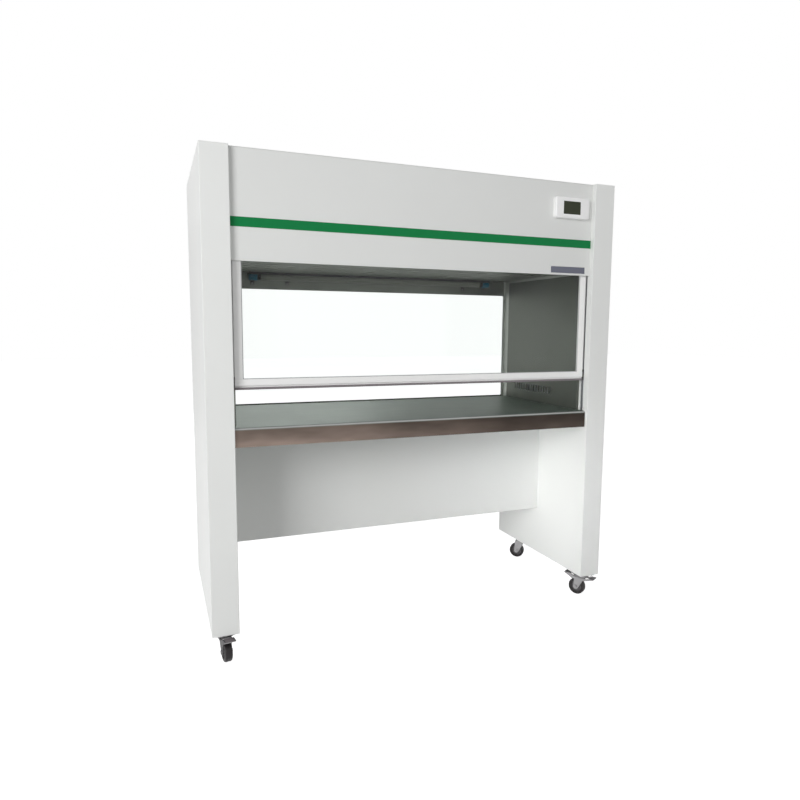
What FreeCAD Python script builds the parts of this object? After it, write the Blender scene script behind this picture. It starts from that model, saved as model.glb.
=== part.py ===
"""Vertical laminar flow cabinet for two people, on four swivel casters.

Millimetres. +X is to the right of someone who sits in front of the cabinet, +Y runs from the
front to the rear, and +Z is up. The origin is on the floor, at the middle of the footprint.
"""
import FreeCAD, Part
import math
import os
import re

import Sketcher

# Driving dimensions: name, value, meaning
SIZES = (
    ("overall_width", 1480, "outside of the left end panel to outside of the right one"),
    ("overall_depth", 630, "depth of the end panels"),
    ("overall_height", 1595, "floor to the top of the end panels"),
    ("sheet_gauge", 1.5, "painted steel sheet"),
    ("liner_gauge", 1.2, "stainless steel sheet"),
    # End panels
    ("panel_thickness", 85, "across one end panel"),
    ("panel_floor_gauge", 3, "base plate of an end panel, which carries two casters"),
    # Work chamber
    ("worktop_height", 753, "floor to the work surface"),
    ("worktop_recess", 13, "front of the end panels to the face of the worktop's lip"),
    ("worktop_lip", 61, "height of the worktop's front lip"),
    ("worktop_lip_return", 14, "fold along the bottom of the lip"),
    ("worktop_nose_radius", 7, "rolled top edge of the lip"),
    ("worktop_rear_flange", 28, "fold along the rear edge"),
    ("canopy_tall", 316.5, "top of the cabinet down to the underside of the ceiling diffuser"),
    ("worktop_side_gap", 0.3, "edge of the worktop to a side liner"),
    ("liner_depth", 10, "how far a side liner stands into the chamber"),
    ("liner_front_setback", 55, "front of the end panels to the front of a side liner"),
    ("rear_wall_setback", 25, "rear of the end panels to the chamber side of the rear wall"),
    ("rear_wall_depth", 10, "depth of the folded rear wall"),
    # Return air slots in the side liners
    ("vent_slot_count", 15, "slots in one side liner"),
    ("vent_slot_width", 9, "along the depth"),
    ("vent_slot_height", 25, "upright"),
    ("vent_slot_pitch", 18.8, "slot to slot"),
    ("vent_rear_gap", 106, "rear wall to the rearmost slot"),
    ("vent_floor_gap", 46, "work surface to the slots"),
    ("vent_window_margin", 8, "cut-out in the end panel behind the slots, all round"),
    # Rear window
    ("window_side_margin", 19, "end panel to the edge of the window"),
    ("window_sill", 4, "work surface to the bottom edge of the window"),
    ("window_header", 63.5, "ceiling to the top edge of the window"),
    ("window_corner_radius", 12, "corners of the window"),
    ("window_glass_gauge", 5, "rear glass"),
    ("window_gasket_gauge", 2, "rubber between the sheet and the glass"),
    ("window_glass_overlap", 9, "glass beyond the window's edge"),
    ("window_gasket_reveal", 0.4, "window edge to the gasket behind it"),
    ("retainer_clearance", 0.6, "all round the frame that holds the glass"),
    # Canopy
    ("canopy_recess", 20, "front of the end panels to the canopy's face"),
    ("canopy_skirt", 15.5, "ceiling down to the canopy's lower edge"),
    ("canopy_top_return", 22, "fold along the canopy's top edge"),
    ("canopy_bottom_return", 6, "fold along the canopy's lower edge"),
    ("rear_panel_recess", 15, "rear of the end panels to the outside of the rear panel"),
    ("stripe_drop", 202.5, "top of the cabinet down to the stripe"),
    ("stripe_width", 29, "height of the stripe"),
    ("stripe_gauge", 0.8, "thickness of the stripe"),
    # Display and bare plate
    ("display_right_margin", 22, "end panel to the display"),
    ("display_width", 146, "display housing"),
    ("display_tall", 76, "display housing"),
    ("display_drop", 54.5, "top of the cabinet down to the display housing"),
    ("display_depth", 17, "display housing, front to back"),
    ("display_edge_chamfer", 6, "sloped rim of the housing"),
    ("screen_width", 74, "screen"),
    ("screen_tall", 46, "screen"),
    ("screen_left_margin", 32, "left edge of the housing to the screen"),
    ("screen_base_margin", 14.5, "lower edge of the housing to the screen"),
    ("screen_recess", 1.2, "screen below the housing's face"),
    ("screen_gauge", 2.5, "thickness of the screen"),
    ("cable_hole_width", 44, "hole in the canopy behind the display"),
    ("cable_hole_tall", 22, "hole in the canopy behind the display"),
    ("board_standoff", 2, "canopy sheet to the control board"),
    ("board_gauge", 1.6, "control board"),
    ("board_margin", 12, "edge of the housing to the edge of the board"),
    ("board_post", 4, "square post under a corner of the board"),
    ("plate_right_margin", 23, "end panel to the bare plate"),
    ("plate_width", 148, "bare plate"),
    ("plate_tall", 23, "bare plate"),
    ("plate_base_gap", 7, "canopy's lower edge to the plate"),
    ("plate_gauge", 1, "bare plate"),
    # Sash
    ("sash_recess", 30, "front of the end panels to the face of the sash bar"),
    ("sash_depth", 12, "sash bar, front to back"),
    ("sash_gap", 117, "work surface to the bottom of the sash at rest"),
    ("sash_overlap", 111.5, "ceiling up to the top of the sash at rest"),
    ("sash_side_gap", 6, "end panel to the sash"),
    ("grip_tall", 7, "grip strip under the bar"),
    ("grip_overhang", 2, "grip strip in front of the bar"),
    ("bar_neck_tall", 6, "shadow groove above the grip"),
    ("bar_neck_inset", 4, "depth of the shadow groove"),
    ("bar_face_tall", 20, "white face of the bar"),
    ("stile_width", 25, "side stile"),
    ("stile_depth", 10, "side stile, front to back"),
    ("top_rail_tall", 25, "top rail"),
    ("sash_glass_gauge", 5, "sash glass"),
    ("glazing_groove", 6, "groove that holds the glass"),
    ("glazing_groove_depth", 9, "groove that holds the glass"),
    ("glide_tall", 40, "nylon glide"),
    ("glide_depth", 10, "nylon glide, front to back"),
    ("glide_reach", 18, "nylon glide, out of the sash's side"),
    ("track_clearance", 0.5, "glide to track, each side"),
    ("track_end_clearance", 2.5, "glide to the back of the track"),
    ("track_top_gap", 5, "top of the end panel to the top of the track"),
    ("track_slot_clearance", 0.3, "track to the slot in the end panel"),
    # Filter and plenum
    ("plenum_front_setback", 53, "front of the end panels to the plenum's front wall"),
    ("filter_height", 69, "filter, bottom to top"),
    ("filter_side_clearance", 3, "filter to the plenum's walls"),
    ("filter_rim", 20, "width of the filter's frame"),
    ("filter_media_inset", 4, "pleats below the frame's faces"),
    ("pleat_count", 20, "pleats in the filter"),
    ("media_gauge", 6, "thickness of a pleat's wall, measured upright"),
    ("diffuser_slot_length", 200, "slot in the ceiling, along the width"),
    ("diffuser_slot_width", 14, "slot in the ceiling, along the depth"),
    ("diffuser_columns", 5, "slots along the width"),
    ("diffuser_rows", 7, "slots along the depth"),
    ("diffuser_side_margin", 60, "end panel to the first slot"),
    ("diffuser_edge_margin", 45, "edge of the diffuser to the first row"),
    # Air intake
    ("intake_length", 1000, "row of slots in the top cover"),
    ("intake_slot_length", 110, "slot, along the depth"),
    ("intake_slot_width", 18, "slot, along the width"),
    ("intake_columns", 15, "slots along the width"),
    ("intake_row_gap", 30, "between the two rows of slots"),
    ("prefilter_tall", 12, "prefilter mat"),
    ("prefilter_margin", 12, "mat beyond the slots"),
    ("prefilter_ledge", 20, "tray under the edge of the mat"),
    ("prefilter_clearance", 1, "mat to the tray's walls"),
    # Blowers
    ("blower_inset", 325, "end panel to the middle of a blower"),
    ("blower_setback", -20, "middle of the cabinet to the blower's shaft, along the depth"),
    ("blower_lift", 88, "blower deck to the shaft"),
    ("blower_head_gap", 8.5, "top of the scroll to the prefilter"),
    ("blower_width", 110, "scroll, along the shaft"),
    ("scroll_radius", 68, "smallest radius of the scroll"),
    ("scroll_growth", 12, "growth of the scroll for each quarter turn"),
    ("blower_inlet_radius", 48, "inlet in the side of the scroll next to the motor"),
    ("impeller_radius", 60, "tips of the blades"),
    ("impeller_side_gap", 6, "impeller to the scroll's side"),
    ("impeller_disc_gauge", 2, "disc that carries the blades"),
    ("blade_count", 16, "blades"),
    ("blade_gauge", 1.5, "blades"),
    ("blade_depth", 18, "blades, along the radius"),
    ("blade_lean", 8, "tip of a blade ahead of its root"),
    ("hub_radius", 14, "hub"),
    ("hub_length", 30, "hub, in front of the disc"),
    ("shaft_radius", 6, "motor shaft"),
    ("shaft_clearance", 0.05, "shaft to bearing"),
    ("motor_radius", 38, "motor"),
    ("motor_length", 82, "motor"),
    ("motor_gap", 20, "scroll to motor"),
    ("motor_bearing_depth", 40, "shaft inside the motor"),
    ("motor_bore_relief", 0.5, "end of the shaft to the bottom of its bore"),
    ("motor_foot_width", 50, "motor's foot, across the shaft"),
    ("motor_foot_length", 41, "motor's foot, along the shaft"),
    # Ballast
    ("ballast_length", 230, "lamp ballast"),
    ("ballast_depth", 45, "lamp ballast"),
    ("ballast_tall", 34, "lamp ballast"),
    ("ballast_setback", 170, "middle of the cabinet to the ballast, towards the front"),
    # Lamp
    ("lamp_length", 1062, "tube with its end caps"),
    ("lamp_shift", 9, "middle of the cabinet to the middle of the lamp"),
    ("lamp_radius", 13, "tube"),
    ("lamp_wall_gap", 19, "rear wall to the lamp's axis"),
    ("lamp_ceiling_gap", 16.5, "ceiling to the lamp's axis"),
    ("lamp_cap_length", 32, "end cap"),
    ("lamp_cap_radius", 15, "end cap"),
    ("lamp_seat_gap", 0.3, "brackets and clips to what lies on them"),
    ("lamp_bracket_gauge", 2, "brackets and clips"),
    ("lamp_bracket_width", 14, "brackets and clips"),
    ("lamp_bracket_tall", 30, "brackets and clips"),
    ("lamp_clip_left_inset", 154, "left end of the lamp to a clip"),
    ("lamp_clip_right_inset", 120, "right end of the lamp to a clip"),
    # Lower part
    ("support_leg", 28, "angle that carries the worktop"),
    ("support_gauge", 3, "angle that carries the worktop"),
    ("support_setback", 40, "ends of the angle, from the front and rear of the end panels"),
    ("stiffener_depth", 60, "channel under the worktop"),
    ("modesty_setback", 2.5, "face of the modesty panel in front of the middle"),
    ("modesty_depth", 20, "folded edges of the modesty panel"),
    ("modesty_base_height", 290, "floor to the modesty panel"),
    # Mains inlet
    ("inlet_margin", 90, "end panel to the middle of the inlet"),
    ("inlet_lift", 190, "ceiling to the middle of the inlet"),
    ("inlet_width", 48, "flange of the inlet"),
    ("inlet_tall", 24, "flange of the inlet"),
    ("inlet_flange_gauge", 3, "flange of the inlet"),
    ("inlet_core_width", 27, "body of the inlet"),
    ("inlet_core_tall", 19, "body of the inlet"),
    ("inlet_core_depth", 24, "body of the inlet behind the panel"),
    ("inlet_wall", 2, "wall round the inlet's socket"),
    ("inlet_socket_depth", 17, "depth of the socket"),
    ("inlet_pin_reach", 12, "pins in the socket"),
    ("inlet_pin_width", 2, "pin, across"),
    ("inlet_pin_tall", 4, "pin, upright"),
    ("inlet_pin_spread", 7, "middle of the socket to an outer pin"),
    ("inlet_pin_drop", 2, "middle of the socket to the middle of a pin, upright"),
    # Casters
    ("caster_height", 95, "floor to the end panel"),
    ("caster_front_inset", 44.5, "front of the end panels to the front swivels"),
    ("caster_rear_inset", 135, "rear of the end panels to the rear swivels"),
    ("caster_front_left_turn", 9, "degrees that the caster is turned at rest"),
    ("caster_front_right_turn", -150, "degrees that the caster is turned at rest"),
    ("caster_rear_left_turn", 36, "degrees that the caster is turned at rest"),
    ("caster_rear_right_turn", -133, "degrees that the caster is turned at rest"),
    ("caster_trail", 20, "swivel to axle"),
    ("wheel_radius", 32.5, "wheel"),
    ("tread_width", 24, "wheel"),
    ("axle_radius", 4, "axle"),
    ("axle_head_radius", 7, "hexagonal ends of the axle, across the corners"),
    ("axle_head_gauge", 3, "hexagonal ends of the axle"),
    ("running_clearance", 0.05, "shaft fits of the casters, on the radius"),
    ("wheel_side_clearance", 0.5, "wheel to fork"),
    ("fork_gauge", 3, "fork"),
    ("fork_front_reach", 26, "swivel to the front of the fork's bridge"),
    ("fork_rear_reach", 18, "swivel to the rear of the fork's bridge"),
    ("fork_foot_half", 10, "lower end of a fork leg, from the axle to its edge"),
    ("fork_foot_chamfer", 6, "corners of the lower end"),
    ("race_radius", 22, "ball race under the top plate"),
    ("race_height", 12, "ball race under the top plate"),
    ("race_gap", 0.3, "fork to ball race, and to the kingpin's nut"),
    ("top_plate_width", 58, "top plate, along the width"),
    ("top_plate_depth", 80, "top plate, along the depth"),
    ("top_plate_gauge", 2.5, "top plate"),
    ("kingpin_radius", 5, "kingpin"),
    ("kingpin_nut_radius", 9, "nut of the kingpin, across the corners"),
    ("kingpin_nut_height", 3, "nut of the kingpin"),
    ("bolt_spread_width", 40, "bolts of a top plate, along the width"),
    ("bolt_spread_depth", 62, "bolts of a top plate, along the depth"),
    ("bolt_head_radius", 5.5, "bolt head, across the corners"),
    ("bolt_head_height", 4, "bolt head"),
    # Rocking brake pedals of the front casters
    ("brake_pivot_reach", 20, "swivel to the pedal's pin"),
    ("brake_pivot_height", 70, "floor to the pedal's pin"),
    ("brake_pin_radius", 3, "pedal's pin"),
    ("brake_gauge", 2.5, "pedal's sheet"),
    ("brake_side_clearance", 0.5, "fork to the arms of the pedal"),
    ("brake_arm_half", 4, "arm of the pedal, from the pin to its edge"),
    ("brake_toe_reach", 69, "swivel to the tip over the wheel"),
    ("brake_toe_root", 42, "swivel to the inner edge of the plate over the wheel"),
    ("brake_toe_height", 85, "floor to the top of the plate over the wheel"),
    ("brake_heel_reach", 53, "swivel to the tip away from the wheel"),
    ("brake_heel_root", 34, "swivel to the inner edge of the plate away from the wheel"),
    ("brake_heel_height", 78.5, "floor to the top of the plate away from the wheel"),
    ("brake_shoe_reach", 36, "swivel to the front of the shoe"),
    ("brake_shoe_height", 65, "floor to the bottom of the shoe"),
)

NAMES = {name for name, value, meaning in SIZES}

# Stations that several pieces share, worked out from the driving dimensions
INNER = "(overall_width / 2 - panel_thickness)"
OUTER = "(overall_width / 2)"
FRONT = "(-overall_depth / 2)"
REAR = "(overall_depth / 2)"
CANOPY_FACE = f"({FRONT} + canopy_recess)"
REAR_FACE = f"({REAR} - rear_panel_recess)"
COVER_UNDERSIDE = "(overall_height - sheet_gauge)"
CEILING = "(overall_height - canopy_tall)"
CANOPY_BASE = f"({CEILING} - canopy_skirt)"
STRIPE_TOP = "(overall_height - stripe_drop)"
LINER_FRONT = f"({FRONT} + liner_front_setback)"
REAR_WALL = f"({REAR} - rear_wall_setback)"
REAR_WALL_BACK = f"({REAR_WALL} + rear_wall_depth)"
VENT_REAR = f"({REAR_WALL} - vent_rear_gap)"
VENT_FRONT = f"({VENT_REAR} - (vent_slot_count - 1) * vent_slot_pitch - vent_slot_width)"
VENT_BASE = "(worktop_height + vent_floor_gap)"
LIP_FACE = f"({FRONT} + worktop_recess)"
WORKTOP_UNDERSIDE = "(worktop_height - sheet_gauge)"
WORKTOP_REAR_BASE = "(worktop_height - worktop_rear_flange)"
CEILING_TOP = f"({CEILING} + sheet_gauge)"
PLENUM_FRONT = f"({FRONT} + plenum_front_setback)"
SASH_FACE = f"({FRONT} + sash_recess)"
SASH_BACK = f"({SASH_FACE} + sash_depth)"
SASH_MIDDLE = f"({SASH_FACE} + sash_depth / 2)"
SASH_SIDE = f"({INNER} - sash_side_gap)"
SASH_BASE = "(worktop_height + sash_gap)"
SASH_TOP = f"({CEILING} + sash_overlap)"
BAR_TOP = f"({SASH_BASE} + grip_tall + bar_neck_tall + bar_face_tall)"
TRACK_DEPTH = "(sash_side_gap * -1 + glide_reach + track_end_clearance + sheet_gauge)"
TRACK_HALF = "(glide_depth / 2 + track_clearance + sheet_gauge)"
WINDOW_SIDE = f"({INNER} - window_side_margin)"
WINDOW_BASE = "(worktop_height + window_sill)"
WINDOW_TOP = f"({CEILING} - window_header)"
GASKET_FACE = f"({REAR_WALL} + liner_gauge)"
GLASS_FACE = f"({GASKET_FACE} + window_gasket_gauge)"
GLASS_BACK = f"({GLASS_FACE} + window_glass_gauge)"
DISPLAY_RIGHT = f"({INNER} - display_right_margin)"
DISPLAY_LEFT = f"({DISPLAY_RIGHT} - display_width)"
DISPLAY_FACE = f"({CANOPY_FACE} - display_depth)"
DISPLAY_TOP = "(overall_height - display_drop)"
DISPLAY_BASE = f"({DISPLAY_TOP} - display_tall)"
BLOWER_X = f"({INNER} - blower_inset)"
LAMP_Y = f"({REAR_WALL} - lamp_wall_gap)"
LAMP_Z = f"({CEILING} - lamp_ceiling_gap)"
CASTER_X = f"({INNER} + panel_thickness / 2)"
CASTER_FRONT_Y = f"({FRONT} + caster_front_inset)"
CASTER_REAR_Y = f"({REAR} - caster_rear_inset)"
WHEEL_HALF = "(tread_width / 2)"
LEG_INSIDE = f"({WHEEL_HALF} + wheel_side_clearance)"
LEG_OUTSIDE = f"({LEG_INSIDE} + fork_gauge)"
PLATE_BASE = "(caster_height - top_plate_gauge)"
RACE_BASE = f"({PLATE_BASE} - race_height)"
FORK_TOP = f"({RACE_BASE} - race_gap)"
BRIDGE_BASE = f"({FORK_TOP} - fork_gauge)"
INTAKE_HALF = "(intake_length / 2)"
INTAKE_DEPTH = "(intake_slot_length * 2 + intake_row_gap)"
MAT_X = f"({INTAKE_HALF} + prefilter_margin)"
MAT_Y = f"({INTAKE_DEPTH} / 2 + prefilter_margin)"
MAT_BOTTOM = f"({COVER_UNDERSIDE} - prefilter_tall)"
SHAFT_HEIGHT = f"({MAT_BOTTOM} - blower_head_gap - scroll_radius - scroll_growth)"
DECK = f"({SHAFT_HEIGHT} - blower_lift)"

# The plane that a sketch lies in when it is extruded along an axis, and the sense of its normal
PLANES = {"X": ("YZ_Plane", 1), "Y": ("XZ_Plane", -1), "Z": ("XY_Plane", 1)}
LEFT, RIGHT = -1, 1

doc = FreeCAD.newDocument("laminar_flow_cabinet")
sheet = doc.addObject("Spreadsheet::Sheet", "Sizes")
parts = []


def fill_sheet():
    """Writes the driving dimensions into the spreadsheet."""
    for row, (name, value, meaning) in enumerate(SIZES, start=1):
        sheet.set(f"A{row}", name)
        sheet.set(f"B{row}", str(value))
        sheet.set(f"C{row}", meaning)
        sheet.setAlias(f"B{row}", name)
    doc.recompute()


def spelled(text):
    """Turns size names into references to the spreadsheet."""
    def spell(found):
        word = found.group()
        return f"Sizes.{word}" if word in NAMES else word

    return re.sub(r"[a-z_]+", spell, text)


def bind(thing, slot, text):
    """Ties a property or a constraint to an expression of sizes."""
    thing.setExpression(slot, spelled(text))


def number(text):
    """The present value of an expression of sizes."""
    return float(sheet.evalExpression(text))


def start_body(label):
    """A new sub-part made of sketches and features."""
    body = doc.addObject("PartDesign::Body", label)
    body.Label = label
    parts.append(body)
    return body


def keep(thing, label):
    """Names an object as a sub-part."""
    thing.Label = label
    parts.append(thing)
    return thing


def origin_feature(body, role):
    """One of the planes or axes of a body."""
    return next(feature for feature in body.Origin.OriginFeatures if feature.Role == role)


def flip(side, low, high):
    """A stretch along X on the right side, or its mirror image on the left side."""
    if side == RIGHT:
        return low, high
    return f"-({high})", f"-({low})"


def rectangle(left, right, bottom, top):
    """Corners of a rectangle."""
    return [(left, bottom), (right, bottom), (right, top), (left, top)]


def new_sketch(body, role, place):
    """A sketch on a plane of its body, moved by place in the sketch's own axes."""
    sketch = body.newObject("Sketcher::SketchObject", "outline")
    sketch.AttachmentSupport = [(origin_feature(body, role), "")]
    sketch.MapMode = "FlatFace"
    for axis, text in zip("xyz", place):
        bind(sketch, f"AttachmentOffset.Base.{axis}", text)
    return sketch


def fix_points(sketch, fixes):
    """Holds points of a sketch at expressions of sizes."""
    for edge, end, across, up in fixes:
        for kind, text in (("DistanceX", across), ("DistanceY", up)):
            index = sketch.addConstraint(Sketcher.Constraint(kind, -1, 1, edge, end, number(text)))
            bind(sketch, f"Constraints[{index}]", text)


def draw_polygon(sketch, corners):
    """A closed outline of straight lines."""
    start = sketch.GeometryCount
    count = len(corners)
    spots = [FreeCAD.Vector(number(across), number(up), 0) for across, up in corners]
    lines = [Part.LineSegment(spots[i], spots[(i + 1) % count]) for i in range(count)]
    sketch.addGeometry(lines, False)
    for i in range(count):
        following = start + (i + 1) % count
        sketch.addConstraint(Sketcher.Constraint("Coincident", start + i, 2, following, 1))
    fix_points(sketch, [(start + i, 1, across, up) for i, (across, up) in enumerate(corners)])


def draw_circle(sketch, across, up, radius):
    """A circle."""
    middle = FreeCAD.Vector(number(across), number(up), 0)
    edge = sketch.addGeometry(Part.Circle(middle, FreeCAD.Vector(0, 0, 1), number(radius)), False)
    fix_points(sketch, [(edge, 3, across, up)])
    index = sketch.addConstraint(Sketcher.Constraint("Radius", edge, number(radius)))
    bind(sketch, f"Constraints[{index}]", radius)


def draw(sketch, outline):
    """Draws a polygon, a circle, or a list of either."""
    if isinstance(outline, tuple):
        draw_circle(sketch, *outline)
    elif isinstance(outline[0], list):
        for piece in outline:
            draw(sketch, piece)
    elif len(outline[0]) == 3:
        for piece in outline:
            draw_circle(sketch, *piece)
    else:
        draw_polygon(sketch, outline)


def extrude(kind, body, axis, outline, low, high):
    """Extrudes an outline from one station to another along an axis."""
    role, sense = PLANES[axis]
    sketch = new_sketch(body, role, ("0", "0", f"{sense} * (({low}) + ({high})) / 2"))
    draw(sketch, outline)
    feature = body.newObject(kind, "feature")
    feature.Profile = sketch
    feature.SideType = "Symmetric"
    bind(feature, "Length", f"({high}) - ({low})")
    return feature


def pad(body, axis, outline, low, high):
    """Adds material."""
    return extrude("PartDesign::Pad", body, axis, outline, low, high)


def pocket(body, axis, outline, low, high):
    """Takes material away."""
    return extrude("PartDesign::Pocket", body, axis, outline, low, high)


def revolve(body, centre, profile):
    """Turns a profile of (along, radius) points about an axis along X through the centre."""
    sketch = new_sketch(body, "XY_Plane", centre)
    draw(sketch, profile)
    feature = body.newObject("PartDesign::Revolution", "turned")
    feature.Profile = sketch
    feature.ReferenceAxis = (sketch, ["H_Axis"])
    feature.Angle = 360
    return feature


def repeat_along(body, feature, axis, length, count, second=None):
    """Repeats a feature in a row, or in rows when a second direction is given."""
    pattern = body.newObject("PartDesign::LinearPattern", "row")
    pattern.Originals = [feature]
    pattern.Direction = (origin_feature(body, f"{axis}_Axis"), [""])
    bind(pattern, "Length", length)
    bind(pattern, "Occurrences", count)
    if second:
        other_axis, other_length, other_count = second
        pattern.Direction2 = (origin_feature(body, f"{other_axis}_Axis"), [""])
        bind(pattern, "Length2", other_length)
        bind(pattern, "Occurrences2", other_count)
    body.Tip = pattern
    return pattern


def dress(kind, body, slot, size, chosen):
    """Rounds or bevels the edges of a body that pass a test."""
    doc.recompute()
    base = body.Tip
    names = [f"Edge{i}" for i, edge in enumerate(base.Shape.Edges, start=1) if chosen(edge)]
    feature = body.newObject(kind, "edges")
    feature.Base = (base, names)
    bind(feature, slot, size)
    return feature


def runs_along(edge, axis):
    """True for a straight edge along an axis."""
    if edge.Curve.TypeId != "Part::GeomLine":
        return False
    return abs(getattr(edge.tangentAt(edge.FirstParameter), axis)) > 0.999


def near(value, text):
    """True when a coordinate lies on a station."""
    return abs(value - number(text)) < 0.01


def end_panel(side, label):
    """Folded steel box with a cut-out behind the slots and a slot for the sash track."""
    body = start_body(label)
    x_low, x_high = flip(side, INNER, OUTER)
    pad(body, "Z", rectangle(x_low, x_high, FRONT, REAR), "caster_height", "overall_height")
    x_low, x_high = flip(side, f"{INNER} + sheet_gauge", f"{OUTER} - sheet_gauge")
    hollow = rectangle(x_low, x_high, f"{FRONT} + sheet_gauge", f"{REAR} - sheet_gauge")
    pocket(body, "Z", hollow, "caster_height + panel_floor_gauge", "overall_height - sheet_gauge")
    wall_low, wall_high = flip(side, f"{INNER} - sheet_gauge", f"{INNER} + sheet_gauge")
    window = rectangle(f"{VENT_FRONT} - vent_window_margin", f"{VENT_REAR} + vent_window_margin",
                       f"{VENT_BASE} - vent_window_margin",
                       f"{VENT_BASE} + vent_slot_height + vent_window_margin")
    pocket(body, "X", window, wall_low, wall_high)
    track = rectangle(f"{SASH_MIDDLE} - {TRACK_HALF} - track_slot_clearance",
                      f"{SASH_MIDDLE} + {TRACK_HALF} + track_slot_clearance",
                      "worktop_height - track_slot_clearance",
                      "overall_height - track_top_gap + track_slot_clearance")
    pocket(body, "X", track, wall_low, wall_high)


def chamber_liner(side, label):
    """Shallow stainless pan against an end panel, with a row of return air slots."""
    body = start_body(label)
    x_low, x_high = flip(side, f"{INNER} - liner_depth", INNER)
    pad(body, "Z", rectangle(x_low, x_high, LINER_FRONT, REAR_WALL), WORKTOP_UNDERSIDE, CEILING)
    x_low, x_high = flip(side, f"{INNER} - liner_depth + liner_gauge", f"{INNER} + liner_gauge")
    hollow = rectangle(x_low, x_high, f"{LINER_FRONT} + liner_gauge", f"{REAR_WALL} - liner_gauge")
    pocket(body, "Z", hollow, f"{WORKTOP_UNDERSIDE} + liner_gauge", f"{CEILING} - liner_gauge")
    x_low, x_high = flip(side, f"{INNER} - liner_depth - liner_gauge",
                         f"{INNER} - liner_depth + liner_gauge * 2")
    slot = pocket(body, "X", rectangle(VENT_FRONT, f"{VENT_FRONT} + vent_slot_width", VENT_BASE,
                                       f"{VENT_BASE} + vent_slot_height"), x_low, x_high)
    repeat_along(body, slot, "Y", "(vent_slot_count - 1) * vent_slot_pitch", "vent_slot_count")


def sash_guide(side, label):
    """Aluminium channel inside an end panel, in which the sash's glides run."""
    body = start_body(label)
    x_low, x_high = flip(side, INNER, f"{INNER} + {TRACK_DEPTH}")
    pad(body, "Z", rectangle(x_low, x_high, f"{SASH_MIDDLE} - {TRACK_HALF}", f"{SASH_MIDDLE} + {TRACK_HALF}"),
        "worktop_height", "overall_height - track_top_gap")
    x_low, x_high = flip(side, f"{INNER} - sheet_gauge", f"{INNER} + {TRACK_DEPTH} - sheet_gauge")
    groove = rectangle(x_low, x_high, f"{SASH_MIDDLE} - {TRACK_HALF} + sheet_gauge",
                       f"{SASH_MIDDLE} + {TRACK_HALF} - sheet_gauge")
    pocket(body, "Z", groove, "worktop_height - sheet_gauge", "overall_height")


def folded_profile(face, bottom, top, top_return, bottom_return, gauge):
    """Cross-section of a sheet folded back along its top and bottom edges."""
    return [(face, bottom), (face, top), (f"{face} + {top_return}", top),
            (f"{face} + {top_return}", f"{top} - {gauge}"), (f"{face} + {gauge}", f"{top} - {gauge}"),
            (f"{face} + {gauge}", f"{bottom} + {gauge}"),
            (f"{face} + {bottom_return}", f"{bottom} + {gauge}"), (f"{face} + {bottom_return}", bottom)]


def canopy_front_panel():
    """Painted front of the canopy, folded back at its top and bottom, with a hole behind the display."""
    body = start_body("canopy_front_panel")
    profile = folded_profile(CANOPY_FACE, CANOPY_BASE, COVER_UNDERSIDE, "canopy_top_return",
                             "canopy_bottom_return", "sheet_gauge")
    pad(body, "X", profile, f"-{INNER}", INNER)
    middle_x = f"({DISPLAY_LEFT} + display_width / 2)"
    middle_z = f"({DISPLAY_BASE} + display_tall / 2)"
    hole = rectangle(f"{middle_x} - cable_hole_width / 2", f"{middle_x} + cable_hole_width / 2",
                     f"{middle_z} - cable_hole_tall / 2", f"{middle_z} + cable_hole_tall / 2")
    pocket(body, "Y", hole, f"{CANOPY_FACE} - sheet_gauge", f"{CANOPY_FACE} + sheet_gauge * 2")


def accent_stripe():
    """Coloured strip across the canopy."""
    body = start_body("accent_stripe")
    pad(body, "Y", rectangle(f"-{INNER}", INNER, f"{STRIPE_TOP} - stripe_width", STRIPE_TOP),
        f"{CANOPY_FACE} - stripe_gauge", CANOPY_FACE)


def canopy_top_cover():
    """Top sheet with two rows of intake slots."""
    body = start_body("canopy_top_cover")
    pad(body, "Z", rectangle(f"-{INNER}", INNER, CANOPY_FACE, REAR_FACE), COVER_UNDERSIDE, "overall_height")
    row_front = f"(-{INTAKE_DEPTH} / 2)"
    slot = pocket(body, "Z", rectangle(f"-{INTAKE_HALF}", f"-{INTAKE_HALF} + intake_slot_width", row_front,
                                       f"{row_front} + intake_slot_length"),
                  f"{COVER_UNDERSIDE} - sheet_gauge", "overall_height + sheet_gauge")
    repeat_along(body, slot, "X", "intake_length - intake_slot_width", "intake_columns",
                 ("Y", "intake_slot_length + intake_row_gap", "2"))


def canopy_rear_panel():
    """Painted rear of the canopy, with the cut-out for the mains inlet."""
    body = start_body("canopy_rear_panel")
    pad(body, "Y", rectangle(f"-{INNER}", INNER, CEILING_TOP, COVER_UNDERSIDE),
        f"{REAR_FACE} - sheet_gauge", REAR_FACE)
    pocket(body, "Y", rectangle(f"{INNER} - inlet_margin - inlet_core_width / 2",
                                f"{INNER} - inlet_margin + inlet_core_width / 2",
                                f"{CEILING_TOP} + inlet_lift - inlet_core_tall / 2",
                                f"{CEILING_TOP} + inlet_lift + inlet_core_tall / 2"),
           f"{REAR_FACE} - sheet_gauge * 2", f"{REAR_FACE} + sheet_gauge")


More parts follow.
